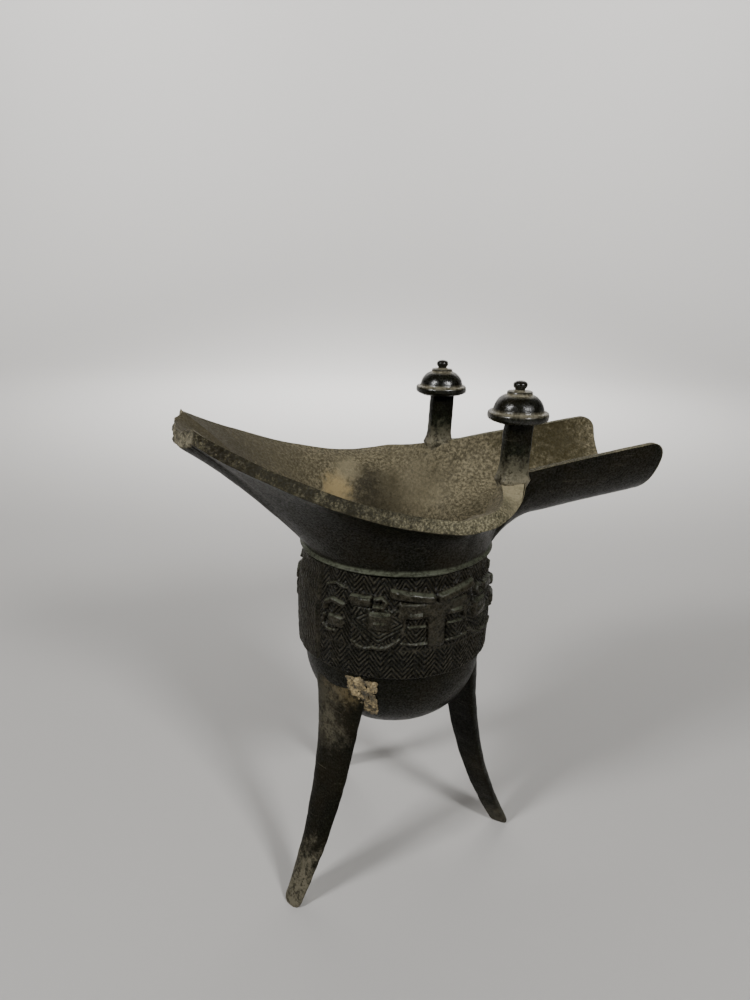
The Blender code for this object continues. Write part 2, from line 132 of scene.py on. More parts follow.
# Shapes in small numbers: the ring's side view and the cap's, and a leg's section
RING_PROFILE = (
    (-0.9, 2.6), (-0.5, 2.15), (0.3, 1.95), (0.65, 1.7), (0.75, 1.4), (0.65, 1.1),
    (0.3, 0.85), (-0.1, 0.6), (0.0, 0.0),
)
CAP_PROFILE = (
    (0.0, -1.4), (0.5, -1.4), (0.60, -1.3), (0.80, -1.0), (0.90, -0.62), (0.965, -0.3),
    (0.99, 0.05), (1.0, 0.5), (1.0, 1.2), (0.99, 1.7), (0.955, 2.05), (0.90, 2.15),
    (0.875, 2.1), (0.855, 2.2), (0.84, 2.5), (0.825, 3.1), (0.80, 4.0), (0.75, 4.9),
    (0.68, 5.75), (0.59, 6.45), (0.49, 6.95), (0.435, 7.1), (0.42, 7.2), (0.415, 7.5),
    (0.41, 7.95), (0.38, 8.2), (0.27, 8.3), (0.19, 8.42), (0.165, 8.65), (0.175, 8.9),
    (0.215, 9.25), (0.235, 9.7), (0.235, 10.2), (0.21, 10.7), (0.15, 11.1), (0.08, 11.3),
    (0.0, 11.35),
)
CAP_DUST = {
    9: 0.35, 10: 0.8, 11: 1.0, 12: 1.0, 13: 0.9, 14: 0.4, 20: 0.4, 21: 0.9, 22: 1.0, 23: 0.6,
    25: 0.5, 26: 0.9, 27: 0.8,
}
LEG_SECTION = (
    (0.5, 0.3), (0.53, 0.0), (0.5, -0.3), (0.36, -0.50), (0.16, -0.49), (-0.40, -0.13),
    (-0.5, 0.0), (-0.40, 0.13), (0.16, 0.49), (0.36, 0.50),
)

# Patches of deposit: centre from the cup's axis, radius, colour, how dark or pale, strength
INSIDE_PATCHES = (
    ((0.001, 0.031, 0.135), 0.0095, "buff", 0.15, 0.75),
    ((0.004, 0.027, 0.126), 0.0130, "buff", 0.20, 0.8),
    ((-0.012, 0.029, 0.134), 0.0075, "ochre", 1.2, 0.95),
    ((-0.006, 0.034, 0.140), 0.0065, "buff", 1.5, 0.6),
    ((0.016, 0.025, 0.134), 0.0150, "buff", 1.3, 0.5),
    ((0.060, 0.018, 0.150), 0.0160, "olive", 1.0, 0.85),
    ((0.078, 0.018, 0.150), 0.0170, "olive", 1.0, 0.85),
    ((-0.040, 0.026, 0.152), 0.0220, "buff", 0.55, 0.6),
    ((-0.058, 0.012, 0.160), 0.0260, "buff", 0.40, 0.8),
)
LIP_PATCHES = (
    ((0.022, -0.032, 0.148), 0.0130, "buff", 1.9, 0.8),
    ((0.018, -0.037, 0.145), 0.0045, "green", 1.0, 0.6),
    ((-0.060, -0.022, 0.162), 0.0280, "brown", 1.0, 1.0),
    ((-0.036, -0.037, 0.150), 0.0420, "lip", 0.16, 1.0),
)
LEG_PATCHES = (
    (
        ((-0.0240, -0.0175, 0.0820), 0.0085, "ochre", 0.50, 0.7),
        ((-0.0285, -0.0120, 0.0760), 0.0095, "dust", 0.36, 0.6),
        ((-0.0275, -0.0135, 0.0640), 0.0085, "dust", 0.50, 0.6),
        ((-0.0420, -0.0210, 0.0020), 0.0220, "dust", 0.66, 0.85),
    ),
    (((0.0460, -0.0090, 0.003), 0.0120, "dust", 0.4, 0.6),),
    (((-0.0070, 0.0460, 0.003), 0.0120, "dust", 0.4, 0.6),),
)
HANDLE_PATCHES = (((0.0, NECK_RADIUS, HANDLE_LOW_HEIGHT), 0.010, "dust", 0.4, 0.5),)

# Studio and camera
FLOOR_HALF = 4.0
BACKDROP_DISTANCE = 2.4
BACKDROP_BEND = 1.1
BACKDROP_HEIGHT = 5.0
CAMERA_YAW = 20.75
CAMERA_PITCH = 17.63
CAMERA_ROLL = 1.32
CAMERA_HEIGHT = 4.286 * NECK_RADIUS
CAMERA_DISTANCE = 7.35 * NECK_RADIUS
CAMERA_ASIDE = 0.23 * NECK_RADIUS
CAMERA_LENS = 16.8
CAMERA_SENSOR = 24
PAPER_COLOUR = (0.50, 0.488, 0.47)
WORLD_STRENGTH = 0.03

# Name, place, target, size, power and spread; places are right, away and up as the camera sees
LAMPS = (
    ("right light", (0.54, -0.72, 0.70), (0, 0, 0.09), 0.20, 8.5, 180),
    ("left light", (-0.71, -0.55, 0.70), (0, 0, 0.09), 0.20, 8.5, 180),
    ("left backdrop light", (-1.1, 1.0, 2.0), (-1.1, 2.2, 1.6), 1.0, 70.0, 180),
    ("right backdrop light", (1.1, 1.0, 2.0), (1.1, 2.2, 1.6), 1.0, 62.0, 180),
    ("far floor light", (0, 1.0, 1.6), (0, 1.0, 0), 0.6, 7.5, 56),
)

# Place of the cup's axis in the frame
CUP_AXIS = Vector((LOW.x + TAIL_REACH, LOW.y + MOUTH_HALF_WIDTH + LIP_OUT, 0))


def mix(low, high, share):
    """The value a share of the way from low to high."""
    return low + (high - low) * share


def shade(colour, factor):
    """A colour made darker or paler."""
    return tuple(channel * factor for channel in colour)


def squared(values, power):
    """Cosines or sines pushed outwards, so that a circle turns into a rounded square."""
    return np.sign(values) * np.abs(values) ** power


def smooth(value):
    """0 below 0, 1 above 1 and an even slope between."""
    held = np.clip(value, 0, 1)
    return held * held * (3 - 2 * held)


def wander(points, grain, seed):
    """A smooth random number, mostly from -1 to 1, for each point; grain is its size in metres."""
    random = np.random.default_rng(seed)
    total = 0
    for wave in range(9):
        direction = random.normal(size=3)
        direction /= np.linalg.norm(direction)
        pace = 2 * math.pi / grain * random.uniform(0.7, 1.4)
        total = total + np.sin(points @ (direction * pace) + random.uniform(0, 2 * math.pi))
    return total / 3.5


# The rim and the ribs that run up to it


def mouth_half_width(x):
    """Half the mouth's inner width at x, from the tail's tip to the posts."""
    share = min(abs(x - MOUTH_WIDEST_X) / (TAIL_REACH + MOUTH_WIDEST_X + TAIL_ROUNDING), 1.0)
    return MOUTH_HALF_WIDTH * (1 - share ** TAIL_FULLNESS) ** TAIL_BLUNTNESS


def rim_height(x):
    """Height of the rim at x: it rises from the mouth's side both ways."""
    if x < MOUTH_WIDEST_X:
        share = (MOUTH_WIDEST_X - x) / (TAIL_REACH - TAIL_BREAK + MOUTH_WIDEST_X)
        return mix(MOUTH_HEIGHT, TAIL_HEIGHT, share ** TAIL_RISE)
    if x < SPOUT_ROOT_X:
        share = (x - MOUTH_WIDEST_X) / (SPOUT_ROOT_X - MOUTH_WIDEST_X)
        return mix(MOUTH_HEIGHT, SPOUT_ROOT_HEIGHT, share ** 1.6)
    share = (x - SPOUT_ROOT_X) / (SPOUT_REACH - SPOUT_ROOT_X)
    return mix(SPOUT_ROOT_HEIGHT, SPOUT_TOP, share ** 0.9)


def spout_section(x, angle, inset):
    """A point of the spout's trough: 0 degrees at its keel, 90 at the top of its wall."""
    turn = math.radians(angle)
    root = max(0.0, (SPOUT_REACH - x) / (SPOUT_REACH - SPOUT_ROOT_X))
    half = SPOUT_HALF_WIDTH + SPOUT_SPREAD * root - inset
    top = rim_height(max(x, SPOUT_ROOT_X))
    return Vector((x, half * math.sin(turn), top - (SPOUT_DEPTH - inset) * math.cos(turn)))


def spout_end(share):
    """Rim of the spout's end, from the keel up to its rounded upper corner."""
    angle = 90 * math.sin(math.radians(90) * share)
    rims = []
    for inset in (0.0, SPOUT_WALL):
        height = spout_section(SPOUT_REACH, angle, inset).z
        over = max(0.0, (height - SPOUT_TOP + SPOUT_CORNER) / SPOUT_CORNER)
        back = SPOUT_CORNER * (1 - math.sqrt(max(0.0, 1 - over * over)))
        rims.append(spout_section(SPOUT_REACH - back, angle, inset))
    return rims[0], rims[1], -0.2, angle, 1.0


def spout_wall(share):
    """Rim of the spout's wall, from its end back to the post."""
    x = mix(SPOUT_REACH - SPOUT_CORNER * 1.05, SPOUT_ROOT_X, share)
    outer = spout_section(x, 90, 0.0)
    inner = spout_section(x, 90, SPOUT_WALL)
    return outer, inner, -0.2, 90, min(1.0, (1 - share) * 4)


def through(before, start, end, after, t):
    """A point between start and end on the smooth curve through four points."""
    return 0.5 * (
        2 * start + (end - before) * t + (2 * before - 5 * start + 4 * end - after) * t * t
        + (3 * start - before - 3 * end + after) * t * t * t
    )


def along(points, share):
    """A point at a share of the smooth curve through the given points."""
    place = share * (len(points) - 1)
    index = min(int(place), len(points) - 2)
    before = points[max(index - 1, 0)]
    after = points[min(index + 2, len(points) - 1)]
    return through(before, points[index], points[index + 1], after, place - index)


CORNER_OUTER = (
    (0.0, 0.0, 0.0), (0.12, 0.13, 0.08), (0.22, 0.33, 0.25),
    (0.42, 0.60, 0.57), (0.69, 0.81, 0.84), (1.0, 1.0, 1.0),
)
CORNER_INNER = (
    (0.05, 0.0, 0.0), (0.33, 0.03, 0.08), (0.51, 0.20, 0.26),
    (0.66, 0.55, 0.63), (0.82, 0.83, 0.87), (1.0, 1.0, 1.0),
)


def post_corner(share):
    """Rim of the corner where the spout's wall turns into the mouth."""
    rims = []
    for shares, inset, out, drop in (
        (CORNER_OUTER, 0.0, LIP_OUT, LIP_DROP), (CORNER_INNER, SPOUT_WALL, 0.0, 0.0),
    ):
        root = spout_section(SPOUT_ROOT_X - 1.0 * MM, 90, inset)
        side = Vector((
            MOUTH_SIDE_X,
            mouth_half_width(MOUTH_SIDE_X) + out,
            rim_height(MOUTH_SIDE_X) - drop,
        ))
        points = [
            Vector((mix(root.x, side.x, a), mix(root.y, side.y, b), mix(root.z, side.z, c)))
            for a, b, c in shares
        ]
        rims.append(along(points, share))
    return rims[0], rims[1], mix(-0.2, -0.6, share), 90, 0.0


def bowl_side(share):
    """Rim of the mouth's side, from the corner to the tail."""
    x = mix(MOUTH_SIDE_X - 5.0 * MM, TAIL_BREAK + 1.6 * MM - TAIL_REACH, share)
    inner = Vector((x, mouth_half_width(x), rim_height(x)))
    outer = inner + Vector((-0.5 * MM * share, LIP_OUT, -mix(LIP_DROP, LIP_DROP * 0.85, share)))
    return outer, inner, mix(-0.75, -0.15, share ** 0.7), 90, 0.0


def tail_end(share):
    """Rim of the tail's broken end."""
    angle = math.radians(90) * share
    half = mouth_half_width(TAIL_BREAK - TAIL_REACH)
    low = TAIL_HEIGHT - LIP_DROP
    back = TAIL_BREAK * math.cos(angle) ** 2 + 0.4 * MM * math.sin(6.0 * angle)
    outer = Vector((
        back - TAIL_REACH,
        (half + LIP_OUT) * math.cos(angle) ** 1.1,
        mix(low, TAIL_KEEL_HEIGHT, math.sin(angle)),
    ))
    inner = Vector((
        back + 0.8 * MM - TAIL_REACH,
        half * math.cos(angle) ** 1.1,
        TAIL_HEIGHT - TAIL_DISH * math.sin(angle),
    ))
    return outer, inner, -0.12, 90, 0.0


RIM_STRETCHES = (
    (spout_end, 0.0, 18.0, 20),
    (spout_wall, 21.0, 40.0, 24),
    (post_corner, 43.0, 66.0, 24),
    (bowl_side, 71.0, 170.0, 58),
    (tail_end, 173.0, 180.0, 20),
)
RIB_CROWDING = 1.2
RIB_STEPS = 24
RIB_SPACING = 2.6 * MM
LIP_STEPS = 12


def eased(start, end, leaving, arriving, share):
    """A point on the curve from start to end that leaves and arrives in given directions."""
    return (
        start * (2 * share ** 3 - 3 * share ** 2 + 1)
        + leaving * (share ** 3 - 2 * share ** 2 + share)
        + end * (3 * share ** 2 - 2 * share ** 3)
        + arriving * (share ** 3 - share ** 2)
    )


def half_ribs():
    """Neck angle, rim points, lean, trough angle, trough share and break share of each rib."""
    ribs = []
    for shape, first, last, count in RIM_STRETCHES:
        for step in range(count):
            share = step / (count - 1)
            broken = 1.0 if shape is tail_end else 0.0
            ribs.append([mix(first, last, share), *shape(share), broken])
    filled = [ribs[0]]
    for before, here, there, after in zip(
        ribs[:1] + ribs[:-2], ribs[:-1], ribs[1:], ribs[2:] + ribs[-1:]
    ):
        gap = (there[1] - here[1]).length
        pieces = max(1, math.ceil(gap / RIB_SPACING))
        for step in range(1, pieces):
            share = step / pieces
            middle = [mix(here[index], there[index], share) for index in range(len(here))]
            for index in (1, 2):
                leaving = (here[index] - before[index]).normalized() * gap
                arriving = (after[index] - there[index]).normalized() * gap
                middle[index] = eased(here[index], there[index], leaving, arriving, share)
            filled.append(middle)
        filled.append(there)
    return filled


def bend(start, end, lean, share):
    """A point on the curve from start to end; lean -1 rises first, +1 runs out first."""
    out = 2 * share * (1 - share) * (0.5 + 0.5 * lean) + share * share
    up = 2 * share * (1 - share) * (0.5 - 0.5 * lean) + share * share
    return Vector((mix(start.x, end.x, out), mix(start.y, end.y, out), mix(start.z, end.z, up)))


def on_circle(radius, angle, height):
    """A point on a circle round the axis."""
    turn = math.radians(angle)
    return Vector((radius * math.cos(turn), radius * math.sin(turn), height))


def rib_path(neck, end, lean, angle, trough, inset, shares):
    """Points from the neck to the rim: a free curve, or one that lies in the spout's trough."""
    side = SPOUT_HALF_WIDTH + SPOUT_SPREAD - inset
    start_angle = math.degrees(math.asin(min(1.0, abs(neck.y) / side)))
    below = neck - spout_section(neck.x, start_angle, inset)
    path = []
    for share in shares:
        point = bend(neck, end, lean, share)
        if trough > 0:
            x = mix(neck.x, end.x, share)
            rising = max(0.0, 1 - max(share, (x - neck.x) / SPOUT_BEDDING))
            lying = spout_section(x, mix(start_angle, angle, share), inset) + below * rising ** 2
            point = point.lerp(lying, trough)
        path.append(point)
    return path


def skewed(point):
    """The spout's end is a little askew: its far side reaches further."""
    along_spout = max(0.0, (point.x - SPOUT_ROOT_X) / (SPOUT_REACH - SPOUT_ROOT_X))
    return point + Vector((SPOUT_SKEW * along_spout * point.y / SPOUT_HALF_WIDTH, 0, 0))


def all_ribs(ribs, radius, height, which, inset, shares):
    """Neck angles, and the paths from neck to rim as an array: ribs, steps, coordinates."""
    paths = []
    for rib in ribs:
        neck = on_circle(radius, rib[0], height)
        paths.append((rib[0], rib_path(neck, rib[which], rib[3], rib[4], rib[5], inset, shares)))
    for angle, path in reversed(paths[1:-1]):
        paths.append((360 - angle, [Vector((point.x, -point.y, point.z)) for point in path]))
    angles = np.array([angle for angle, path in paths])
    points = np.array([[tuple(skewed(point)) for point in path] for angle, path in paths])
    return angles, points


def all_round(half):
    """The values of one half's ribs, and of their mirror images."""
    return np.array(half + half[-2:0:-1])


def lip_rows(outer_edge, inner_edge, trough):
    """Rows over the lip from its outer to its inner edge, slightly rounded."""
    middle = np.array((-10.0 * MM, 0.0, 0.0))
    rows = []
    for step in range(1, LIP_STEPS):
        share = 0.5 - 0.5 * math.cos(math.pi * step / LIP_STEPS)
        swell = mix(0.35 * MM, 0.08 * MM, trough) * math.sin(math.pi * share) ** 0.6
        band = mix(outer_edge, inner_edge, share)
        out = band - middle
        out[:, 2] = 0
        out /= np.linalg.norm(out, axis=1)[:, None]
        face = out * 0.75 + np.array((0, 0, 0.65))
        rows.append(band + face * swell[:, None])
    return np.array(rows)


def turned_rows(profile, angles):
    """Rows of points on circles of the profile's radii and heights."""
    turns = np.radians(angles)
    rows = []
    for radius, height in profile:
        across = (radius * np.cos(turns), radius * np.sin(turns), np.full_like(turns, height))
        rows.append(np.stack(across, axis=1))
    return np.array(rows)


def belly_curve(radius, top, bottom, steps):
    """The belly's side view from its pole up to the band, as radii and heights."""
    profile = []
    for step in range(steps + 1):
        angle = math.radians(90) * (1 - step / steps)
        power = 2 / BELLY_SQUARENESS
        across = 0.0 if step == 0 else radius * math.cos(angle) ** power
        profile.append((across, top - (top - bottom) * math.sin(angle) ** power))
    return profile


# Meshes


def skin(name, rows, marks=None):
    """A closed mesh through rows of points that run all the way round, with marks on its points."""
    closed = np.concatenate([rows, rows[:, :1]], axis=1)
    count, columns = closed.shape[:2]
    grid = bmesh.new()
    bmesh.ops.create_grid(grid, x_segments=columns - 1, y_segments=count - 1, size=0.5)
    mesh = bpy.data.meshes.new(name)
    grid.to_mesh(mesh)
    grid.free()
    flat = np.empty(len(mesh.vertices) * 3)
    mesh.vertices.foreach_get("co", flat)
    flat = flat.reshape(-1, 3)
    column = np.rint((flat[:, 0] + 0.5) * (columns - 1)).astype(int)
    row = np.rint((flat[:, 1] + 0.5) * (count - 1)).astype(int)
    mesh.vertices.foreach_set("co", (closed[row, column] + np.array(CUP_AXIS)).ravel())
    for word, values in (marks or {}).items():
        wide = np.concatenate([values, values[:, :1]], axis=1)
        layer = mesh.attributes.new(word, "FLOAT", "POINT")
        layer.data.foreach_set("value", wide[row, column].astype(np.float32))
    whole = bmesh.new()
    whole.from_mesh(mesh)
    bmesh.ops.remove_doubles(whole, verts=whole.verts, dist=0.000002)
    bmesh.ops.recalc_face_normals(whole, faces=whole.faces)
    whole.to_mesh(mesh)
    whole.free()
    return mesh


def read_points(mesh, word="co"):
    """A mesh's points, or their normals, as an array."""
    flat = np.empty(len(mesh.vertices) * 3)
    mesh.vertices.foreach_get(word, flat)
    return flat.reshape(-1, 3)


def read_mark(mesh, word):
    """A mark on the mesh points, as an array."""
    values = np.empty(len(mesh.vertices), dtype=np.float32)
    mesh.attributes[word].data.foreach_get("value", values)
    return values


def roughen(mesh, amounts):
    """Move every point along its normal by its own amount."""
    points = read_points(mesh)
    normals = read_points(mesh, "normal")
    mesh.vertices.foreach_set("co", (points + normals * amounts[:, None]).ravel())
    mesh.update()


def with_ends(rows):
    """The rows with a row at each end that is drawn together to the middle of its neighbour."""
    first, last = (np.broadcast_to(rows[end].mean(axis=0), (1, *rows[0].shape)) for end in (0, -1))
    return np.concatenate([first, rows, last])


def finish_piece(name, mesh, material, sharp=40):
    """Shade, paint and hand over a piece that stands where the vessel stands."""
    piece = bpy.data.objects.new(name, mesh)
    bpy.context.scene.collection.objects.link(piece)
    mesh.shade_smooth()
    mesh.set_sharp_from_angle(angle=math.radians(sharp))
    mesh.materials.append(material)
    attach(piece, "root")
    return piece


def wall_middle(height):
    """Radius of the middle of the cup's wall at a height."""
    if height >= BELLY_TOP:
        return NECK_RADIUS - CUP_WALL * 0.6
    depth = (BELLY_TOP - height) / (BELLY_TOP - BELLY_BOTTOM - CUP_WALL * 0.5)
    if depth >= 1:
        return 0.0
    share = (1 - depth ** BELLY_SQUARENESS) ** (1 / BELLY_SQUARENESS)
    return (NECK_RADIUS - CUP_WALL * 0.6) * share


def kept_outside(rows):
    """Push the points that would come through the cup's wall back to its middle."""
    for row in rows:
        for point in row:
            radius = math.hypot(point[0], point[1])
            least = wall_middle(point[2])
            if radius < least:
                point[:2] *= least / max(radius, 0.001)
    return rows


# Patina


class Wiring:
    """Adds nodes to a tree and joins them."""

    def __init__(self, tree):
        self.tree = tree

    def join(self, node, joins):
        """Link or set a node's inputs."""
        for key, value in joins.items():
            if isinstance(value, bpy.types.NodeSocket):
                self.tree.links.new(value, node.inputs[key])
            else:
                node.inputs[key].default_value = value
        return node

    def add(self, kind, joins=None, **settings):
        node = self.tree.nodes.new("ShaderNode" + kind)
        for key, value in settings.items():
            setattr(node, key, value)
        return self.join(node, joins or {})

    def mark(self, word):
        """A mark that the mesh carries."""
        return self.add("Attribute", attribute_name=word).outputs["Fac"]

    def times(self, first, second):
        return self.math("MULTIPLY", first, second)

    def math(self, operation, first, second=0.0):
        return self.add("Math", {0: first, 1: second}, operation=operation).outputs[0]

    def noise(self, place, scale, detail=4.0, rough=0.6):
        joins = {"Vector": place, "Scale": scale, "Detail": detail, "Roughness": rough}
        return self.add("TexNoise", joins).outputs["Fac"]

    def span(self, value, low, high, to_low=0.0, to_high=1.0):
        """A value's way from low to high, eased and spread over another range."""
        joins = {
            "Value": value, "From Min": low, "From Max": high, "To Min": to_low, "To Max": to_high,
        }
        return self.add("MapRange", joins, interpolation_type="SMOOTHSTEP").outputs["Result"]

    def ramp(self, value, stops):
        node = self.add("ValToRGB", {"Fac": value})
        while len(node.color_ramp.elements) < len(stops):
            node.color_ramp.elements.new(0.5)
        for element, (place, colour) in zip(node.color_ramp.elements, stops):
            element.position = place
            element.color = (*colour, 1)
        return node.outputs["Color"]

    def blend(self, share, first, second):
        node = self.add("Mix", {"Factor": share}, data_type="RGBA")
        for index, value in ((6, first), (7, second)):
            is_socket = isinstance(value, bpy.types.NodeSocket)
            self.join(node, {index: value if is_socket else (*value, 1)})
        return node.outputs[2]

    def group(self, name, joins):
        node = self.tree.nodes.new("ShaderNodeGroup")
        node.node_tree = bpy.data.node_groups[name]
        return self.join(node, joins).outputs[0]


def new_group(name, sockets, result):
    """An empty node group with the given inputs and one output."""
    tree = bpy.data.node_groups.new(name, "ShaderNodeTree")
    for word, kind, value in sockets:
        socket = tree.interface.new_socket(word, in_out="INPUT", socket_type=kind)
        if value is not None:
            socket.default_value = value
    tree.interface.new_socket(result, in_out="OUTPUT", socket_type="NodeSocketFloat")
    start = tree.nodes.new("NodeGroupInput")
    end = tree.nodes.new("NodeGroupOutput")
    return tree, start, end


def make_patch_group():
    """1 round a place on the vessel, falling to 0 at its radius, with a ragged edge."""
    tree, start, end = new_group("patch", (
        ("Place", "NodeSocketVector", None),
        ("Centre", "NodeSocketVector", None),
        ("Radius", "NodeSocketFloat", 0.005),
        ("Raggedness", "NodeSocketFloat", 0.6),
    ), "Mask")
    wires = Wiring(tree)
    ends = {0: start.outputs["Place"], 1: start.outputs["Centre"]}
    away = wires.add("VectorMath", ends, operation="DISTANCE")
    share = wires.math("DIVIDE", away.outputs["Value"], start.outputs["Radius"])
    ragged = wires.math("SUBTRACT", wires.noise(start.outputs["Place"], 420.0, 5.0, 0.7), 0.5)
    ragged = wires.times(ragged, start.outputs["Raggedness"])
    ragged = wires.times(ragged, 2.4)
    share = wires.math("ADD", share, ragged)
    tree.links.new(wires.span(share, 1.15, 0.25), end.inputs[0])


def make_speckle_group():
    """Fine grains of two sizes, from 0 to 1."""
    tree, start, end = new_group("speckle", (
        ("Place", "NodeSocketVector", None), ("Grain", "NodeSocketFloat", 900.0),
    ), "Speckle")
    wires = Wiring(tree)
    coarse = wires.noise(start.outputs["Place"], 330.0, 5.0, 0.65)
    grain = wires.noise(start.outputs["Place"], start.outputs["Grain"], 3.0, 0.7)
    both = wires.math("ADD", wires.times(coarse, 0.5), wires.times(grain, 0.5))
    tree.links.new(wires.span(both, 0.36, 0.64), end.inputs[0])


def make_scratch_group():
    """Faint level scratches round the vessel, from 0 to 1."""
    tree, start, end = new_group("scratches", (
        ("Place", "NodeSocketVector", None), ("Amount", "NodeSocketFloat", 1.0),
    ), "Scratches")
    wires = Wiring(tree)
    joins = {"Vector": start.outputs["Place"], "Scale": (30.0, 30.0, 1500.0)}
    stretched = wires.add("Mapping", joins)
    lines = wires.noise(stretched.outputs["Vector"], 1.0, 3.0, 0.75)
    broken = wires.noise(start.outputs["Place"], 140.0, 3.0, 0.6)
    shown = wires.times(wires.span(lines, 0.60, 0.72), wires.span(broken, 0.46, 0.62))
    shown = wires.times(shown, start.outputs["Amount"])
    tree.links.new(shown, end.inputs[0])


def place_of(wires):
    """Object coordinates measured from the cup's own axis."""
    place = wires.add("TexCoord").outputs["Object"]
    return wires.add("VectorMath", {0: place, 1: tuple(CUP_AXIS)}, operation="SUBTRACT").outputs[0]


def dark_bronze(wires, place, finish):
    """Colour of the dark outside, with its clouds, flecks and scratches."""
    cloud = wires.noise(place, 55.0, 6.0, 0.62)
    colour = wires.ramp(wires.noise(place, 1900.0, 4.0, 0.7), (
        (0.36, shade(finish.dark, 0.30)),
        (0.54, finish.dark),
        (0.66, shade(finish.dark, 3.0)),
    ))
    colour = wires.blend(wires.span(cloud, 0.38, 0.72, 0.0, 0.8), colour, finish.brown)
    green = wires.times(wires.span(wires.noise(place, 1100.0, 4.0, 0.7), 0.48, 0.72), 0.5)
    colour = wires.blend(green, colour, finish.green)
    flecks = wires.times(wires.span(wires.noise(place, 1300.0, 3.0, 0.7), 0.60, 0.70),
        wires.span(wires.noise(place, 120.0, 3.0), 0.44, 0.62),
    )
    colour = wires.blend(wires.times(flecks, 0.6), colour, shade(finish.dust, 0.35))
    scratches = wires.group("scratches", {"Place": place, "Amount": 0.8})
    return wires.blend(scratches, colour, shade(finish.dust, 0.40))


def add_sheen(wires, place, shader, low, high):
    """A waxed sheen that comes and goes over the surface."""
    worn = wires.span(wires.noise(place, 1500.0, 4.0, 0.7), 0.36, 0.70, low, high)
    wires.tree.links.new(worn, shader.inputs["Specular IOR Level"])


def lay_patches(wires, place, finish, colour, patches, raggedness, grains=1.0):
    """Lay ragged patches of deposit over a colour."""
    for centre, radius, word, factor, strength in patches:
        joins = {"Place": place, "Centre": centre, "Radius": radius, "Raggedness": raggedness}
        shown = wires.times(wires.group("patch", joins), wires.times(grains, strength))
        colour = wires.blend(shown, colour, shade(getattr(finish, word), factor))
    return colour


def start_material(name):
    """A new material with its wiring and its shader."""
    material = bpy.data.materials.new(name)
    material.use_nodes = True
    wires = Wiring(material.node_tree)
    shader = material.node_tree.nodes["Principled BSDF"]
    return material, wires, shader


def vessel_material(finish):
    """Patina of the cup, mouth, spout and tail, told apart by marks on the mesh."""
    material, wires, shader = start_material("vessel patina")
    place = place_of(wires)
    speckle = wires.group("speckle", {"Place": place, "Grain": 1100.0})
    outside = dark_bronze(wires, place, finish)
    grain = wires.span(wires.noise(place, 950.0, 5.0, 0.7), 0.28, 0.72)
    inside = wires.ramp(grain, (
        (0.0, shade(finish.buff, 0.28)),
        (0.35, shade(finish.buff, 0.60)),
        (0.62, finish.buff),
        (1.0, shade(finish.buff, 1.7)),
    ))
    cloud = wires.noise(place, 75.0, 6.0, 0.7)
    inside = wires.blend(wires.span(cloud, 0.36, 0.72, 0.0, 0.5), inside, shade(finish.buff, 0.50))
    inside = lay_patches(wires, place, finish, inside, INSIDE_PATCHES, 0.8)
    lip = wires.ramp(wires.span(wires.noise(place, 1400.0, 5.0, 0.7), 0.30, 0.70), (
        (0.0, shade(finish.lip, 0.35)),
        (0.38, shade(finish.lip, 0.65)),
        (0.66, shade(finish.lip, 1.2)),
        (1.0, shade(finish.lip, 2.2)),
    ))
    green = wires.span(wires.noise(place, 300.0, 4.0), 0.54, 0.70, 0.0, 0.45)
    lip = wires.blend(green, lip, finish.green)
    grains = wires.span(speckle, 0.0, 0.8, 0.55, 1.0)
    lip = lay_patches(wires, place, finish, lip, LIP_PATCHES, 0.7, grains)
    lip_mark = wires.mark("lip")
    inside_mark = wires.mark("inside")
    ring_mark = wires.mark("ring")
    break_mark = wires.mark("fracture")
    colour = wires.blend(inside_mark, outside, inside)
    colour = wires.blend(lip_mark, colour, lip)
    worn = wires.times(ring_mark, wires.span(speckle, 0.1, 0.7, 0.35, 1.0))
    colour = wires.blend(worn, colour, finish.ring)
    pale = wires.ramp(speckle, (
        (0.0, shade(finish.dust, 0.10)),
        (0.4, shade(finish.dust, 0.50)),
        (1.0, shade(finish.dust, 1.15)),
    ))
    colour = wires.blend(break_mark, colour, pale)
    wires.tree.links.new(colour, shader.inputs["Base Color"])
    rough_in = wires.math("MAXIMUM", inside_mark, wires.math("MAXIMUM", lip_mark, break_mark))
    rough = wires.span(rough_in, 0.0, 1.0, 0.34, 0.62)
    rough = wires.math("ADD", rough, wires.times(wires.math("SUBTRACT", speckle, 0.5), 0.12))
    wires.tree.links.new(rough, shader.inputs["Roughness"])
    height = wires.times(speckle, wires.span(rough_in, 0.0, 1.0, 0.15, 1.0))
    bump = wires.add("Bump", {"Height": height, "Distance": 0.00012, "Strength": 0.6})
    wires.tree.links.new(bump.outputs["Normal"], shader.inputs["Normal"])
    add_sheen(wires, place, shader, 0.02, 0.20)
    return material


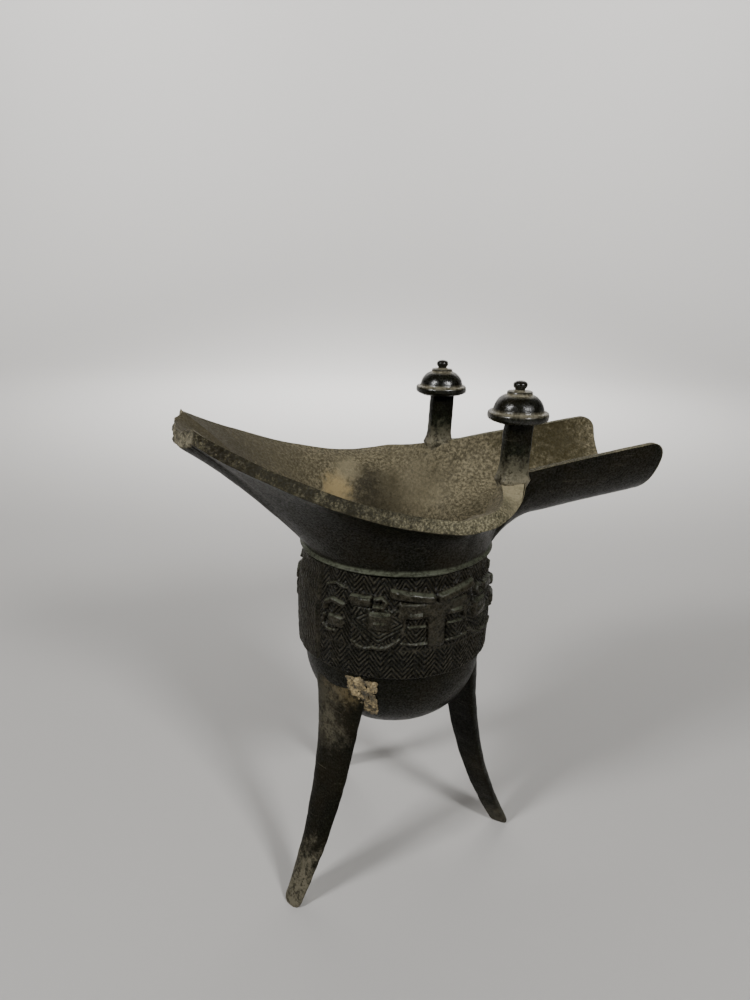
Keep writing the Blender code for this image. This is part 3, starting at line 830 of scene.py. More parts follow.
def band_material(finish):
    """Patina of the relief: dark, glossy on the high parts, with painted shade in the grooves of
    the lines and dust with a painted highlight on upward-facing edges.
    """
    material, wires, shader = start_material("band patina")
    place = place_of(wires)
    speckle = wires.group("speckle", {"Place": place, "Grain": 1300.0})
    colour = dark_bronze(wires, place, finish)
    relief = wires.mark("relief")
    line = wires.mark("line")
    # painted shade: the grooves between the zigzag lines are darkened
    colour = wires.blend(wires.span(line, 0.75, 0.25, 0.0, 0.7), colour, shade(finish.dark, 0.25))
    crest = wires.times(wires.span(line, 0.55, 0.95), wires.span(speckle, 0.2, 0.8, 0.1, 0.7))
    colour = wires.blend(crest, colour, shade(finish.dust, 0.20))
    # upward-facing ledges of the relief turn paler: partly dust, partly a painted highlight where
    # light falls on them
    up = wires.add("SeparateXYZ", {0: wires.add("NewGeometry").outputs["Normal"]}).outputs["Z"]
    ledge_dust_and_highlight = wires.times(wires.span(up, 0.25, 0.8), wires.span(relief, 0.2, 0.6))
    ledge_dust_and_highlight = wires.times(ledge_dust_and_highlight, wires.span(speckle, 0.1, 0.7, 0.25, 0.8))
    colour = wires.blend(ledge_dust_and_highlight, colour, finish.ring)
    wires.tree.links.new(colour, shader.inputs["Base Color"])
    rough = wires.span(relief, 0.5, 1.1, 0.42, 0.22)
    wires.tree.links.new(rough, shader.inputs["Roughness"])
    bump = wires.add("Bump", {"Height": speckle, "Distance": 0.00008, "Strength": 0.5})
    wires.tree.links.new(bump.outputs["Normal"], shader.inputs["Normal"])
    add_sheen(wires, place, shader, 0.03, 0.30)
    return material


def limb_material(name, finish, patches, gloss, sheen, dust_from=None):
    """Dark patina for legs, posts, caps and handle, with patches of deposit."""
    material, wires, shader = start_material(name)
    place = place_of(wires)
    speckle = wires.group("speckle", {"Place": place, "Grain": 1200.0})
    colour = dark_bronze(wires, place, finish)
    grains = wires.span(speckle, 0.05, 0.75, 0.25, 1.0)
    colour = lay_patches(wires, place, finish, colour, patches, 0.9, grains)
    if dust_from is not None:
        dust = wires.mark(dust_from)
        dust = wires.times(dust, wires.span(speckle, 0.1, 0.7, 0.45, 1.0))
        colour = wires.blend(dust, colour, finish.dust)
    wires.tree.links.new(colour, shader.inputs["Base Color"])
    rough = wires.span(speckle, 0.0, 1.0, gloss, gloss + 0.14)
    wires.tree.links.new(rough, shader.inputs["Roughness"])
    bump = wires.add("Bump", {"Height": speckle, "Distance": 0.00008, "Strength": 0.4})
    wires.tree.links.new(bump.outputs["Normal"], shader.inputs["Normal"])
    add_sheen(wires, place, shader, *sheen)
    return material


# Settings


class JueSizes(bpy.types.PropertyGroup):
    relief: FloatProperty(
        name="Relief height", description="How far the mask's highest parts stand out",
        default=1.5 * MM, min=0.0, unit="LENGTH",
    )
    line_depth: FloatProperty(
        name="Line depth", description="Depth of the zigzag ground's lines",
        default=0.42 * MM, min=0.0, unit="LENGTH",
    )
    line_spacing: FloatProperty(
        name="Line spacing", description="Distance between neighbouring zigzag lines",
        default=1.15 * MM, min=0.4 * MM, unit="LENGTH",
    )
    unevenness: FloatProperty(
        name="Unevenness", description="How far the cast skin wanders from true",
        default=0.16 * MM, min=0.0, unit="LENGTH",
    )
    seed: IntProperty(name="Seed", description="Starts the random unevenness", default=11)


def colour_setting(name, description, default):
    """A colour that the panel shows."""
    return FloatVectorProperty(
        name=name, description=description, subtype="COLOR", default=default,
    )


class JueFinish(bpy.types.PropertyGroup):
    dark: colour_setting("Dark", "Dark patina of the outside", (0.0040, 0.0039, 0.0022))
    brown: colour_setting("Brown", "Brown clouds in the dark patina", (0.0098, 0.0074, 0.0032))
    green: colour_setting("Green", "Grey-green specks", (0.0130, 0.0165, 0.0090))
    buff: colour_setting("Buff", "Deposit inside the mouth", (0.155, 0.134, 0.083))
    olive: colour_setting("Olive", "Stain along the spout", (0.034, 0.028, 0.011))
    ochre: colour_setting("Ochre", "Ochre deposit", (0.26, 0.20, 0.10))
    lip: colour_setting("Lip", "Pale lip", (0.125, 0.113, 0.070))
    # the ring colour also paints the band's upward-facing ledges, partly dust and partly a painted
    # highlight
    ring: colour_setting("Ring", "Worn ring and ledges", (0.066, 0.071, 0.050))
    dust: colour_setting("Dust", "Pale dust and fracture", (0.20, 0.18, 0.125))


# Pieces


class JUE_OT_cup(bpy.types.Operator):
    """Model the cup with its mouth, spout and tail as one open vessel with its true wall"""
    bl_idname = "jue.cup"
    bl_label = "Cup, mouth, spout and tail"

    def execute(self, context):
        sizes = context.scene.jue_sizes
        ribs = half_ribs()
        shares = [(step / RIB_STEPS) ** RIB_CROWDING for step in range(1, RIB_STEPS)] + [0.988, 1.0]
        inner_neck = NECK_HEIGHT + CUP_WALL * 0.6
        angles, outer = all_ribs(ribs, NECK_RADIUS, NECK_HEIGHT, 1, 0.0, shares)
        angles, inner = all_ribs(ribs, NECK_RADIUS - CUP_WALL, inner_neck, 2, SPOUT_WALL, shares)
        outer = np.swapaxes(outer, 0, 1)
        inner = np.swapaxes(inner, 0, 1)
        belly = belly_curve(NECK_RADIUS - 0.9 * MM, BELLY_TOP, BELLY_BOTTOM, 26)
        under_band = [
            (NECK_RADIUS - 1.4 * MM, BAND_LOW + 1.5 * MM),
            (NECK_RADIUS - 1.5 * MM, BAND_TOP - 1.0 * MM),
        ]
        ring = [
            (NECK_RADIUS + offset * MM, NECK_HEIGHT - drop * MM) for offset, drop in RING_PROFILE
        ]
        lip = lip_rows(outer[-1], inner[-1], all_round([rib[5] for rib in ribs]))
        bowl = belly_curve(NECK_RADIUS - CUP_WALL, BELLY_TOP, BELLY_BOTTOM + CUP_WALL, 20)
        throat = [
            (NECK_RADIUS - CUP_WALL, mix(BELLY_TOP, inner_neck, share))
            for share in (0.33, 0.66, 1.0)
        ]
        rows = np.concatenate([
            turned_rows(belly + under_band + ring, angles), outer, lip,
            inner[::-1], turned_rows(list(reversed(bowl + throat)), angles),
        ])
        ring_first = len(belly) + len(under_band)
        outer_count = ring_first + len(ring)
        lip_first = outer_count + len(shares) - 1
        inside_first = lip_first + LIP_STEPS
        marks = {word: np.zeros(rows.shape[:2]) for word in ("inside", "lip", "ring", "fracture")}
        marks["inside"][inside_first:] = 1
        marks["lip"][lip_first:inside_first + 1] = 1
        marks["ring"][ring_first + 2:outer_count - 1] = 1
        marks["fracture"][lip_first:inside_first + 1] = all_round([rib[6] for rib in ribs])[None, :]
        mesh = skin("cup", rows, marks)
        points = read_points(mesh) - np.array(CUP_AXIS)
        fracture = read_mark(mesh, "fracture")
        uneven = wander(points, 0.030, sizes.seed) * sizes.unevenness
        uneven += wander(points, 0.009, sizes.seed + 1) * sizes.unevenness * 0.3
        uneven -= np.abs(uneven).max() * 0.5
        uneven += fracture * (wander(points, 0.0035, sizes.seed + 2) - 1) * 0.35 * MM
        uneven += fracture * wander(points, 0.0014, sizes.seed + 3) * 0.15 * MM
        # the pole of the belly and the spout's end keep inside the solid
        low_down = smooth((BELLY_BOTTOM + 1.0 * MM - points[:, 2]) / (1.0 * MM))
        spout_end_near = smooth((points[:, 0] - SPOUT_REACH + 6.0 * MM) / (4.0 * MM))
        roughen(mesh, uneven * (1 - low_down) - 0.12 * MM * spout_end_near)
        piece = finish_piece("cup_and_mouth", mesh, vessel_material(context.scene.jue_finish), 50)
        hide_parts("jue_vessel")
        return {"FINISHED"}


def rounded_box(s, z, s_low, s_high, z_low, z_high, corner=0.6):
    """Distance in millimetres to a rounded box, negative inside."""
    across = np.abs(s - (s_low + s_high) / 2) - (s_high - s_low) / 2 + corner
    up = np.abs(z - (z_low + z_high) / 2) - (z_high - z_low) / 2 + corner
    outside = np.hypot(np.maximum(across, 0), np.maximum(up, 0))
    return outside + np.minimum(np.maximum(across, up), 0) - corner


def stroke(s, z, places, half):
    """Distance in millimetres to a stroke along places with a half-width, negative inside."""
    nearest = np.full_like(s, 1e3)
    for (a_s, a_z), (b_s, b_z) in zip(places, places[1:]):
        length = (b_s - a_s) ** 2 + (b_z - a_z) ** 2
        share = np.clip(((s - a_s) * (b_s - a_s) + (z - a_z) * (b_z - a_z)) / length, 0, 1)
        away = np.hypot(s - mix(a_s, b_s, share), z - mix(a_z, b_z, share))
        nearest = np.minimum(nearest, away)
    return nearest - half


def step_up(distance, soft=0.55):
    """1 inside a shape and 0 outside, with a soft edge of the given width in millimetres."""
    return smooth(0.5 - distance / soft)


def pillow(distance, shoulder):
    """A rounded swelling: 0 at a shape's edge and 1 from its shoulder inwards."""
    share = np.clip(-distance / shoulder, 0, 1)
    return np.sqrt(1 - (1 - share) ** 2)


def zigzag(s, z, period, slope):
    """A field whose level lines are zigzags."""
    turn = np.abs(((s / period) % 1.0) * 2 - 1)
    return (z + slope * period / 2 * turn) / math.sqrt(1 + slope * slope)


def mask_relief(s, z):
    """Half a mask from s, the way round from its middle, and z: its height, lines and bareness."""
    waver = 0.22 * np.sin(s / 3.1 + z / 4.3) + 0.16 * np.sin(s / 1.7 - z / 2.7)
    field = zigzag(s, z, 7.0, 1.35) + waver
    # the face is a low plateau with a scalloped lower edge, and its lines follow the eye
    scallop = 99.5 - 0.7 * np.abs(np.sin((s - 20.6) / 6.8 * math.pi))
    scallop = scallop + 3.0 * smooth((17.0 - s) / 5.0)
    face = np.maximum(rounded_box(s, z, 11.2, 27.8, 96.0, 112.8, 1.4), scallop - z)
    cheek = rounded_box(s, z, 3.4, 12.6, 101.2, 107.8, 0.8)
    plateau = np.maximum(pillow(face, 0.7), pillow(cheek, 0.7))
    near_eye = step_up(np.abs(s - 18.8) * 0.62 + np.abs(z - 107.6) - 6.6, 0.4)
    eye_field = (np.abs(s - 18.6) * 0.62 + np.abs(z - 108.4)) * 0.85 + waver * 0.6
    field = mix(field, eye_field, (near_eye > 0.5).astype(float))
    height = 0.50 * plateau
    lined = np.ones_like(s)
    droop = 0.15 * (s - 4.0)
    pupil = rounded_box(s, z, 14.9, 22.2, 105.8, 111.2, 0.9)
    moat = np.exp(-((pupil - 0.45) / 0.35) ** 2)
    height -= 0.25 * moat
    lined *= 1 - 0.7 * moat
    edge_places = (
        (27.4, 101.2), (25.6, 99.8), (23.3, 99.2), (21.2, 99.7), (20.6, 100.1), (18.6, 99.6),
        (16.4, 100.2), (14.4, 101.3), (12.4, 102.9),
    )
    left_bar = ((12.0, 111.6), (10.8, 110.0), (10.7, 107.4), (11.6, 105.2))
    cap_of_tab = ((21.6, 116.2), (28.2, 116.0), (28.9, 114.4))
    curl = ((20.4, 113.4), (17.6, 113.2), (16.6, 114.8), (18.0, 116.2), (20.2, 115.6))
    hook_top = ((31.0, 112.2), (35.0, 113.0), (37.8, 111.4), (38.2, 109.6))
    hook_low = ((38.6, 107.0), (39.2, 104.2), (36.8, 102.4), (34.0, 102.8))
    outer_bar = ((31.0, 117.4), (34.6, 118.4), (38.2, 117.0))
    # each form: its distance, how far it rises, the width of its shoulder, how bare of lines
    for shape, rise, shoulder, bare in (
        (stroke(s, z, edge_places, 0.60), 0.78, 0.6, 1.0),
        (stroke(s, z, ((3.4, 101.5), (7.5, 101.3), (11.6, 101.8)), 0.50), 0.75, 0.5, 1.0),
        (rounded_box(s, z, -1.0, 12.6, 109.6, 114.8, 1.2), 0.55, 1.0, 1.0),
        (pupil, 0.85, 0.9, 1.0),
        (stroke(s, z, ((15.4, 111.2), (21.8, 111.3)), 0.45), 1.0, 0.45, 1.0),
        (rounded_box(s, z, 16.2, 20.8, 107.2, 109.0, 0.5), 1.15, 0.7, 1.0),
        (stroke(s, z, left_bar, 0.55), 0.75, 0.55, 1.0),
        (rounded_box(s, z, 4.4, 9.8, 109.8, 111.7, 0.8), 1.0, 0.8, 1.0),
        (stroke(s, z, ((4.0, 107.3), (9.2, 107.1)), 0.45), 0.80, 0.45, 1.0),
        (rounded_box(s, z, -3.0, 3.0, 99.6, 113.0, 1.2), 0.62, 2.2, 1.0),
        (rounded_box(s, z, 21.4, 28.6, 113.0, 116.0, 0.8), 0.85, 0.9, 1.0),
        (stroke(s, z, cap_of_tab, 0.45), 1.0, 0.45, 1.0),
        (stroke(s, z, curl, 0.7), 0.9, 0.7, 1.0),
        (rounded_box(s, z - droop, 0.3, 15.6, 114.6, 117.8, 1.0), 1.12, 1.1, 1.0),
        (stroke(s, z, hook_top, 1.0), 0.95, 1.0, 0.9),
        (rounded_box(s, z, 30.6, 36.8, 104.2, 108.2, 1.0), 0.85, 1.1, 0.9),
        (stroke(s, z, outer_bar, 0.6), 0.65, 0.6, 0.8),
        (stroke(s, z, hook_low, 0.6), 0.65, 0.6, 0.8),
    ):
        height = np.maximum(height, rise * pillow(shape, shoulder))
        lined = lined * (1 - bare * step_up(shape, 0.35))
    # the lower border has zigzag lines of its own below a plain gap
    border = z < 98.4
    field = np.where(border, zigzag(s + 3.7, z, 7.2, 1.25) + waver * 0.5, field)
    height = np.where(border, 0.0, height)
    lined = np.where(border, 1.0, lined)
    gap = np.exp(-((z - 98.8) / 0.5) ** 2) * (1 - plateau)
    height -= 0.22 * gap
    lined = lined * (1 - 0.85 * gap)
    # the plain upright strips under the tail and the spout carry upright strokes
    strip = smooth((s - 42.0) / 0.5)
    groove = np.exp(-((s - 42.0) / 0.5) ** 2)
    upright = s * 0.95 + 0.5 * np.sin(z / 1.7) + 0.35 * np.sin(z / 0.9 + s)
    field = np.where(strip > 0.5, upright, field)
    height = mix(height, 0.32, strip) - 0.4 * groove
    lined = mix(lined, 0.45, strip) * (1 - groove)
    return height, field, lined


class JUE_OT_band(bpy.types.Operator):
    """Model the band with its mask on a zigzag ground"""
    bl_idname = "jue.band"
    bl_label = "Relief band"

    def execute(self, context):
        sizes = context.scene.jue_sizes
        columns = 720
        levels = 112
        foot = BAND_LOW
        head = BAND_TOP
        z = np.linspace(foot / MM, head / MM, levels)[:, None]
        angle = np.linspace(0, 360, columns, endpoint=False)[None, :]
        z, angle = np.broadcast_arrays(z, angle)
        reach = (NECK_RADIUS + 2.0 * MM) / MM * math.pi / 180
        front = np.abs((angle - MASK_DIRECTION + 180) % 360 - 180) * reach
        back = np.abs((angle - HANDLE_DIRECTION + 180) % 360 - 180) * reach
        s = np.minimum(front, back)
        height, field, lined = mask_relief(s, z)
        wave = 0.5 - 0.5 * np.cos(2 * math.pi * field / (sizes.line_spacing / MM))
        line = smooth(wave * 1.25)
        share = np.clip((z - foot / MM) / (BAND_HIGH / MM - foot / MM), 0, 1)
        ground = NECK_RADIUS + (0.75 + 0.35 * np.sin(math.pi * share) - 1.0 * share ** 3) * MM
        ground = ground - 0.5 * MM * smooth((z - BAND_HIGH / MM + 2.0) / 4.0)
        radius = ground + sizes.relief * height - sizes.line_depth * (1 - line) * lined
        edge = smooth((z - foot / MM) / 0.45)
        radius = radius - 0.5 * MM * (1 - edge)
        turn = np.radians(angle)
        rows = np.stack([radius * np.cos(turn), radius * np.sin(turn), z * MM], axis=2)
        inner_profile = [(NECK_RADIUS - 1.9 * MM, level) for level in (head + 0.25 * MM, foot)]
        top, bottom = turned_rows(inner_profile, angle[0])
        rows = np.concatenate([bottom[None], rows, top[None], bottom[None]])
        pad = np.zeros((1, columns))
        marks = {
            "relief": np.concatenate([pad, height, pad, pad]),
            "line": np.concatenate([pad, 1 - (1 - line) * lined, pad, pad]),
        }
        mesh = skin("band", rows, marks)
        points = read_points(mesh) - np.array(CUP_AXIS)
        wear = wander(points, 0.006, sizes.seed + 4) * 0.07 * MM
        wear += wander(points, 0.0016, sizes.seed + 5) * 0.035 * MM
        roughen(mesh, wear)
        finish_piece("relief_band", mesh, band_material(context.scene.jue_finish), 75)
        return {"FINISHED"}


def leg_outline():
    """A leg's section as a smooth closed outline, in shares of its depth and width."""
    section = [Vector(pair) for pair in LEG_SECTION]
    loop = [section[-1]] + section + section[:2]
    outline = []
    for index in range(1, len(loop) - 2):
        for step in range(4):
            outline.append(through(*loop[index - 1:index + 3], step / 4))
    return np.array([tuple(point) for point in outline])


def leg_rows(top_direction, foot_direction, reach, outline):
    """Rows down a leg, from its top inside the cup's wall to its blunt foot."""
    rows = []
    steps = 110
    for step in range(steps + 1):
        share = step / steps
        turn = math.radians(mix(top_direction, foot_direction, share))
        out = np.array((math.cos(turn), math.sin(turn), 0))
        side = np.array((-out[1], out[0], 0))
        face = mix(LEG_TOP_FACE, reach + LEG_FOOT_DEPTH / 2, share ** LEG_SWEEP)
        depth = mix(LEG_TOP_DEPTH, LEG_FOOT_DEPTH, share)
        shin = mix(LEG_TOP_WIDTH, LEG_SHIN_WIDTH, min(1.0, share * 4) ** 0.6)
        width = mix(shin, LEG_FOOT_WIDTH, max(0.0, share - 0.12) / 0.88)
        height = LEG_TOP_HEIGHT * (1 - share)
        blunt = 1 - 0.22 * max(0.0, 1 - height / (1.6 * MM)) ** 2
        centre = out * (face - depth / 2) + np.array((0, 0, height))
        rows.append([
            centre + out * depth * a * blunt * 0.98 + side * width * b * blunt
            for a, b in outline
        ])
    return with_ends(kept_outside(np.array(rows)))


class JUE_OT_legs(bpy.types.Operator):
    """Model the three blade legs"""
    bl_idname = "jue.legs"
    bl_label = "Legs"

    def execute(self, context):
        sizes = context.scene.jue_sizes
        finish = context.scene.jue_finish
        outline = leg_outline()
        names = ("leg_at_tail", "leg_at_spout", "leg_at_handle")
        legs = zip(names, LEG_TOP_DIRECTIONS, LEG_FOOT_DIRECTIONS, LEG_REACHES, LEG_PATCHES)
        for index, (name, top_direction, foot_direction, reach, patches) in enumerate(legs):
            mesh = skin("leg", leg_rows(top_direction, foot_direction, reach, outline))
            points = read_points(mesh) - np.array(CUP_AXIS)
            off_floor = smooth(points[:, 2] / (3.0 * MM))
            uneven = wander(points, 0.014, sizes.seed + 6 + index) * sizes.unevenness * 0.7
            uneven += wander(points, 0.004, sizes.seed + 9 + index) * sizes.unevenness * 0.3
            roughen(mesh, (uneven - 0.10 * MM) * off_floor)
            material = limb_material(name, finish, patches, 0.36, (0.03, 0.11))
            finish_piece(name, mesh, material, 45)
        return {"FINISHED"}


def deposit_material(finish):
    """Ochre and dark grains of the crust."""
    material, wires, shader = start_material("deposit")
    place = place_of(wires)
    speckle = wires.group("speckle", {"Place": place, "Grain": 1400.0})
    colour = wires.ramp(speckle, (
        (0.0, shade(finish.ochre, 0.05)),
        (0.45, shade(finish.ochre, 0.55)),
        (1.0, shade(finish.ochre, 1.4)),
    ))
    cloud = wires.span(wires.noise(place, 420.0, 4.0), 0.46, 0.64, 0.0, 0.8)
    colour = wires.blend(cloud, colour, shade(finish.dust, 0.16))
    wires.tree.links.new(colour, shader.inputs["Base Color"])
    shader.inputs["Roughness"].default_value = 0.75
    return material


class JUE_OT_deposit(bpy.types.Operator):
    """Model the crust of deposit beside the top of the leg at the tail"""
    bl_idname = "jue.deposit"
    bl_label = "Deposit"

    def execute(self, context):
        sizes = context.scene.jue_sizes
        finish = context.scene.jue_finish
        random = np.random.default_rng(sizes.seed + 50)
        crust = bmesh.new()
        for lump in range(150):
            along_crust = random.uniform()
            height = mix(86.2, 73.0, along_crust ** 1.2) * MM
            middle = mix(-130.5, -126.5, along_crust)
            spread = mix(10.5, 3.6, along_crust)
            angle = math.radians(middle + random.uniform(-1, 1) * spread)
            size = random.uniform(0.45, 1.15) * MM
            radius = wall_middle(height) + 1.2 * MM
            made = bmesh.ops.create_icosphere(crust, subdivisions=3, radius=size)
            place = Vector((radius * math.cos(angle), radius * math.sin(angle), height))
            turn = Matrix.Rotation(angle, 4, "Z")
            squash = Matrix.Diagonal((0.50, random.uniform(0.8, 1.4), random.uniform(0.8, 1.3), 1))
            move = Matrix.Translation(place + CUP_AXIS) @ turn @ squash
            bmesh.ops.transform(crust, verts=made["verts"], matrix=move)
        mesh = bpy.data.meshes.new("deposit")
        crust.to_mesh(mesh)
        crust.free()
        points = read_points(mesh)
        lumps = wander(points, 0.0016, sizes.seed + 51) * 0.16 * MM
        lumps = lumps + wander(points, 0.0007, sizes.seed + 52) * 0.08 * MM
        roughen(mesh, lumps)
        finish_piece("deposit", mesh, deposit_material(finish), 60)
        return {"FINISHED"}


def post_swell(level):
    """How much wider the post is at a height: it spreads at its foot and narrows below it."""
    above = (level - POST_FOOT_HEIGHT) / (5.0 * MM)
    if above >= 0:
        return 1.0 + 0.26 * max(0.0, 1 - above) ** 2
    return 1.26 - 0.4 * (POST_FOOT_HEIGHT - level) / (4.0 * MM)


def post_rows(side):
    """Rows up a post, which leans a little, from inside the wall to its cap."""
    turns = np.radians(np.linspace(0, 360, 32, endpoint=False))
    square_x = squared(np.cos(turns), 0.5) * 0.5
    square_y = squared(np.sin(turns), 0.5) * 0.5
    levels = np.concatenate([
        np.linspace(SPOUT_ROOT_HEIGHT - 4.4 * MM, POST_FOOT_HEIGHT, 6),
        np.linspace(POST_FOOT_HEIGHT, CAP_HEIGHT, 18)[1:],
    ])
    rows = []
    for level in levels:
        lean = (level - CAP_HEIGHT) / (CAP_HEIGHT - POST_FOOT_HEIGHT)
        swell = post_swell(level)
        rows.append(np.stack([
            POST_X + 0.7 * MM + 0.9 * MM * lean + POST_WIDTH * square_x * swell,
            side * POST_Y + POST_DEPTH * square_y * swell,
            np.full(len(turns), level),
        ], axis=1))
    return with_ends(np.array(rows))


def cap_rows(side):
    """Rows over a cap, from below its brim to the top of its knob."""
    around = np.linspace(0, 360, 72, endpoint=False)
    profile = [(CAP_RADIUS * share, CAP_HEIGHT + rise * MM) for share, rise in CAP_PROFILE]
    return turned_rows(profile, around) + np.array((POST_X, side * POST_Y, 0))


class JUE_OT_posts(bpy.types.Operator):
    """Model the two posts with their domed caps"""
    bl_idname = "jue.posts"
    bl_label = "Posts and caps"

    def execute(self, context):
        sizes = context.scene.jue_sizes
        finish = context.scene.jue_finish
        for side, word in ((-1, "near_post"), (1, "far_post")):
            mesh = skin("post", post_rows(side))
            points = read_points(mesh) - np.array(CUP_AXIS)
            roughen(mesh, wander(points, 0.005, sizes.seed + 20 + side) * 0.10 * MM)
            low = (POST_X, side * POST_Y, SPOUT_ROOT_HEIGHT - 2.0 * MM)
            high = (POST_X, side * POST_Y, SPOUT_ROOT_HEIGHT + 4.0 * MM)
            patches = ((low, 0.0095, "dust", 1.25, 0.95), (high, 0.0075, "green", 1.0, 0.7))
            finish_piece(word, mesh, limb_material(word, finish, patches, 0.30, (0.02, 0.16)), 40)
            rows = cap_rows(side)
            dust = np.zeros(rows.shape[:2])
            for index, amount in CAP_DUST.items():
                dust[index] = amount
            mesh = skin("cap", rows, {"groove": dust})
            points = read_points(mesh) - np.array(CUP_AXIS)
            roughen(mesh, wander(points, 0.004, sizes.seed + 30 + side) * 0.06 * MM - 0.05 * MM)
            name = word.replace("post", "cap")
            material = limb_material(name, finish, (), 0.20, (0.30, 0.62), "groove")
            finish_piece(name, mesh, material, 40)
        return {"FINISHED"}


class JUE_OT_handle(bpy.types.Operator):
    """Model the strap handle"""
    bl_idname = "jue.handle"
    bl_label = "Handle"

    def execute(self, context):
        sizes = context.scene.jue_sizes
        finish = context.scene.jue_finish
        direction = math.radians(HANDLE_DIRECTION)
        out = np.array((math.cos(direction), math.sin(direction), 0))
        side = np.array((-out[1], out[0], 0))
        up = np.array((0, 0, 1.0))
        root = NECK_RADIUS - CUP_WALL * 0.5
        middle = mix(HANDLE_TOP_HEIGHT, HANDLE_LOW_HEIGHT, 0.5)
        half = (HANDLE_TOP_HEIGHT - HANDLE_LOW_HEIGHT) / 2
        turns = np.radians(np.linspace(0, 360, 28, endpoint=False))
        thick = squared(np.cos(turns), 0.55) * 0.48
        wide = squared(np.sin(turns), 0.45) * 0.48
        wide = wide * (1 - 0.22 * np.maximum(thick, 0))
        rows = []
        steps = 48
        for step in range(steps + 1):
            angle = math.radians(mix(90, -90, step / steps))
            reach = root + (HANDLE_REACH + CUP_WALL) * max(math.cos(angle), 0.0) ** 0.6
            centre = out * reach + up * (middle + half * math.sin(angle))
            normal = out * math.cos(angle) + up * math.sin(angle)
            rows.append([
                centre + normal * HANDLE_THICKNESS * a + side * HANDLE_WIDTH * b
                for a, b in zip(thick, wide)
            ])
        mesh = skin("handle", with_ends(kept_outside(np.array(rows))))
        points = read_points(mesh) - np.array(CUP_AXIS)
        roughen(mesh, wander(points, 0.006, sizes.seed + 40) * 0.08 * MM - 0.05 * MM)
        material = limb_material("handle patina", finish, HANDLE_PATCHES, 0.34, (0.02, 0.18))
        finish_piece("handle", mesh, material, 45)
        return {"FINISHED"}


def make_floor(facing):
    """A pale sheet that bends up far behind the vessel, turned to the camera."""
    sheet = bmesh.new()
    bmesh.ops.create_grid(sheet, x_segments=1, y_segments=1, size=FLOOR_HALF)
    back = [edge for edge in sheet.edges if all(vert.co.y > 0 for vert in edge.verts)]
    lifted = bmesh.ops.extrude_edge_only(sheet, edges=back)
    risen = [item for item in lifted["geom"] if isinstance(item, bmesh.types.BMVert)]
    bmesh.ops.translate(sheet, verts=risen, vec=(0, 0, BACKDROP_HEIGHT))
    bend_edges = [
        edge for edge in sheet.edges
        if all(vert.co.y > 0 and abs(vert.co.z) < 1.0 * MM for vert in edge.verts)
    ]
    bmesh.ops.bevel(
        sheet, geom=bend_edges, offset=BACKDROP_BEND, segments=24, profile=0.5, affect="EDGES",
    )
    bmesh.ops.translate(sheet, verts=sheet.verts, vec=(0, BACKDROP_DISTANCE - FLOOR_HALF, 0))
    bmesh.ops.transform(sheet, verts=sheet.verts, matrix=facing)
    mesh = bpy.data.meshes.new("floor")
    sheet.to_mesh(mesh)
    sheet.free()
    floor = bpy.data.objects.new("floor", mesh)
    bpy.context.scene.collection.objects.link(floor)
    mesh.shade_smooth()
    paper, wires, shader = start_material("pale paper")
    shader.inputs["Base Color"].default_value = (*PAPER_COLOUR, 1)
    shader.inputs["Roughness"].default_value = 0.7
    mesh.materials.append(paper)


def make_lights(facing):
    """A faint even light, and soft lamps."""
    world = bpy.data.worlds.new("studio")
    world.use_nodes = True
    background = world.node_tree.nodes["Background"]
    background.inputs["Color"].default_value = (1, 1, 1, 1)
    background.inputs["Strength"].default_value = WORLD_STRENGTH
    bpy.context.scene.world = world
    for name, place, target, size, power, spread in LAMPS:
        lamp = bpy.data.lights.new(name, "AREA")
        lamp.size = size
        lamp.energy = power
        lamp.spread = math.radians(spread)
        light = bpy.data.objects.new(name, lamp)
        bpy.context.scene.collection.objects.link(light)
        light.location = facing @ Vector(place)
        aim = facing @ Vector(target) - light.location
        light.rotation_euler = aim.to_track_quat("-Z", "Y").to_euler()


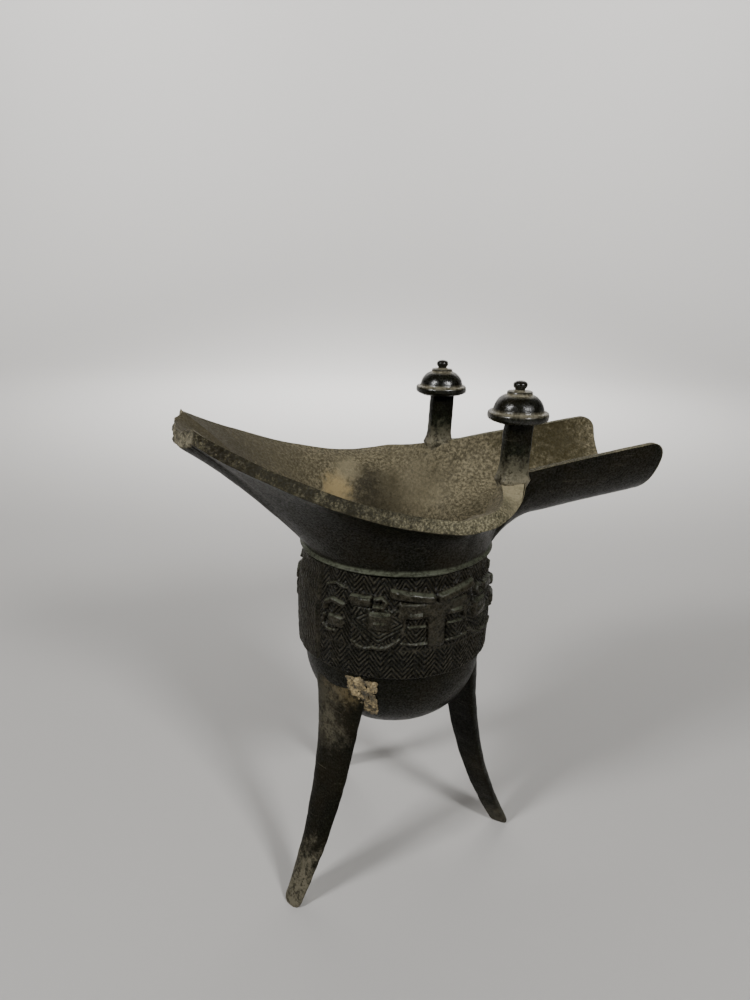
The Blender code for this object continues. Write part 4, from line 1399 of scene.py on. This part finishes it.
def make_camera(yaw):
    """The camera at the photo's angle."""
    pitch = math.radians(CAMERA_PITCH)
    roll = math.radians(CAMERA_ROLL)
    level = Vector((math.sin(yaw), math.cos(yaw), 0))
    right = Vector((math.cos(yaw), -math.sin(yaw), 0))
    up = Vector((0, 0, 1))
    forward = level * math.cos(pitch) - up * math.sin(pitch)
    over = level * math.sin(pitch) + up * math.cos(pitch)
    image_right = right * math.cos(roll) + over * math.sin(roll)
    image_up = over * math.cos(roll) - right * math.sin(roll)
    turn = Matrix((image_right, image_up, -forward)).transposed().to_4x4()
    place = up * CAMERA_HEIGHT - forward * CAMERA_DISTANCE - right * CAMERA_ASIDE
    turn.translation = place + CUP_AXIS
    lens = bpy.data.cameras.new("camera")
    lens.sensor_fit = "VERTICAL"
    lens.sensor_height = CAMERA_SENSOR
    lens.lens = CAMERA_LENS
    lens.clip_start = 0.01
    camera = bpy.data.objects.new("camera", lens)
    bpy.context.scene.collection.objects.link(camera)
    camera.matrix_world = turn
    bpy.context.scene.camera = camera


class JUE_OT_stage(bpy.types.Operator):
    """Set the pale floor, the soft lights and the camera"""
    bl_idname = "jue.stage"
    bl_label = "Studio"

    def execute(self, context):
        yaw = math.radians(CAMERA_YAW)
        facing = Matrix.Rotation(-yaw, 4, "Z")
        make_floor(facing)
        make_lights(facing)
        make_camera(yaw)
        return {"FINISHED"}


class JUE_PT_panel(bpy.types.Panel):
    bl_label = "Bronze jue"
    bl_idname = "JUE_PT_panel"
    bl_space_type = "VIEW_3D"
    bl_region_type = "UI"
    bl_category = "Jue"

    def draw(self, context):
        for settings in (context.scene.jue_sizes, context.scene.jue_finish):
            for word in settings.bl_rna.properties.keys():
                if word not in ("rna_type", "name"):
                    self.layout.prop(settings, word)
        for operator in OPERATORS:
            self.layout.operator(operator.bl_idname)


OPERATORS = (
    JUE_OT_cup, JUE_OT_band, JUE_OT_legs, JUE_OT_deposit, JUE_OT_posts, JUE_OT_handle, JUE_OT_stage,
)
CLASSES = (JueSizes, JueFinish, *OPERATORS, JUE_PT_panel)


def register():
    for item in CLASSES:
        bpy.utils.register_class(item)
    bpy.types.Scene.jue_sizes = PointerProperty(type=JueSizes)
    bpy.types.Scene.jue_finish = PointerProperty(type=JueFinish)


def unregister():
    del bpy.types.Scene.jue_finish
    del bpy.types.Scene.jue_sizes
    for item in reversed(CLASSES):
        bpy.utils.unregister_class(item)


def main():
    register()
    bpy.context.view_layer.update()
    make_patch_group()
    make_speckle_group()
    make_scratch_group()
    bpy.ops.jue.cup()
    bpy.ops.jue.band()
    bpy.ops.jue.legs()
    bpy.ops.jue.deposit()
    bpy.ops.jue.posts()
    bpy.ops.jue.handle()
    bpy.ops.jue.stage()


if __name__ == "__main__":
    main()
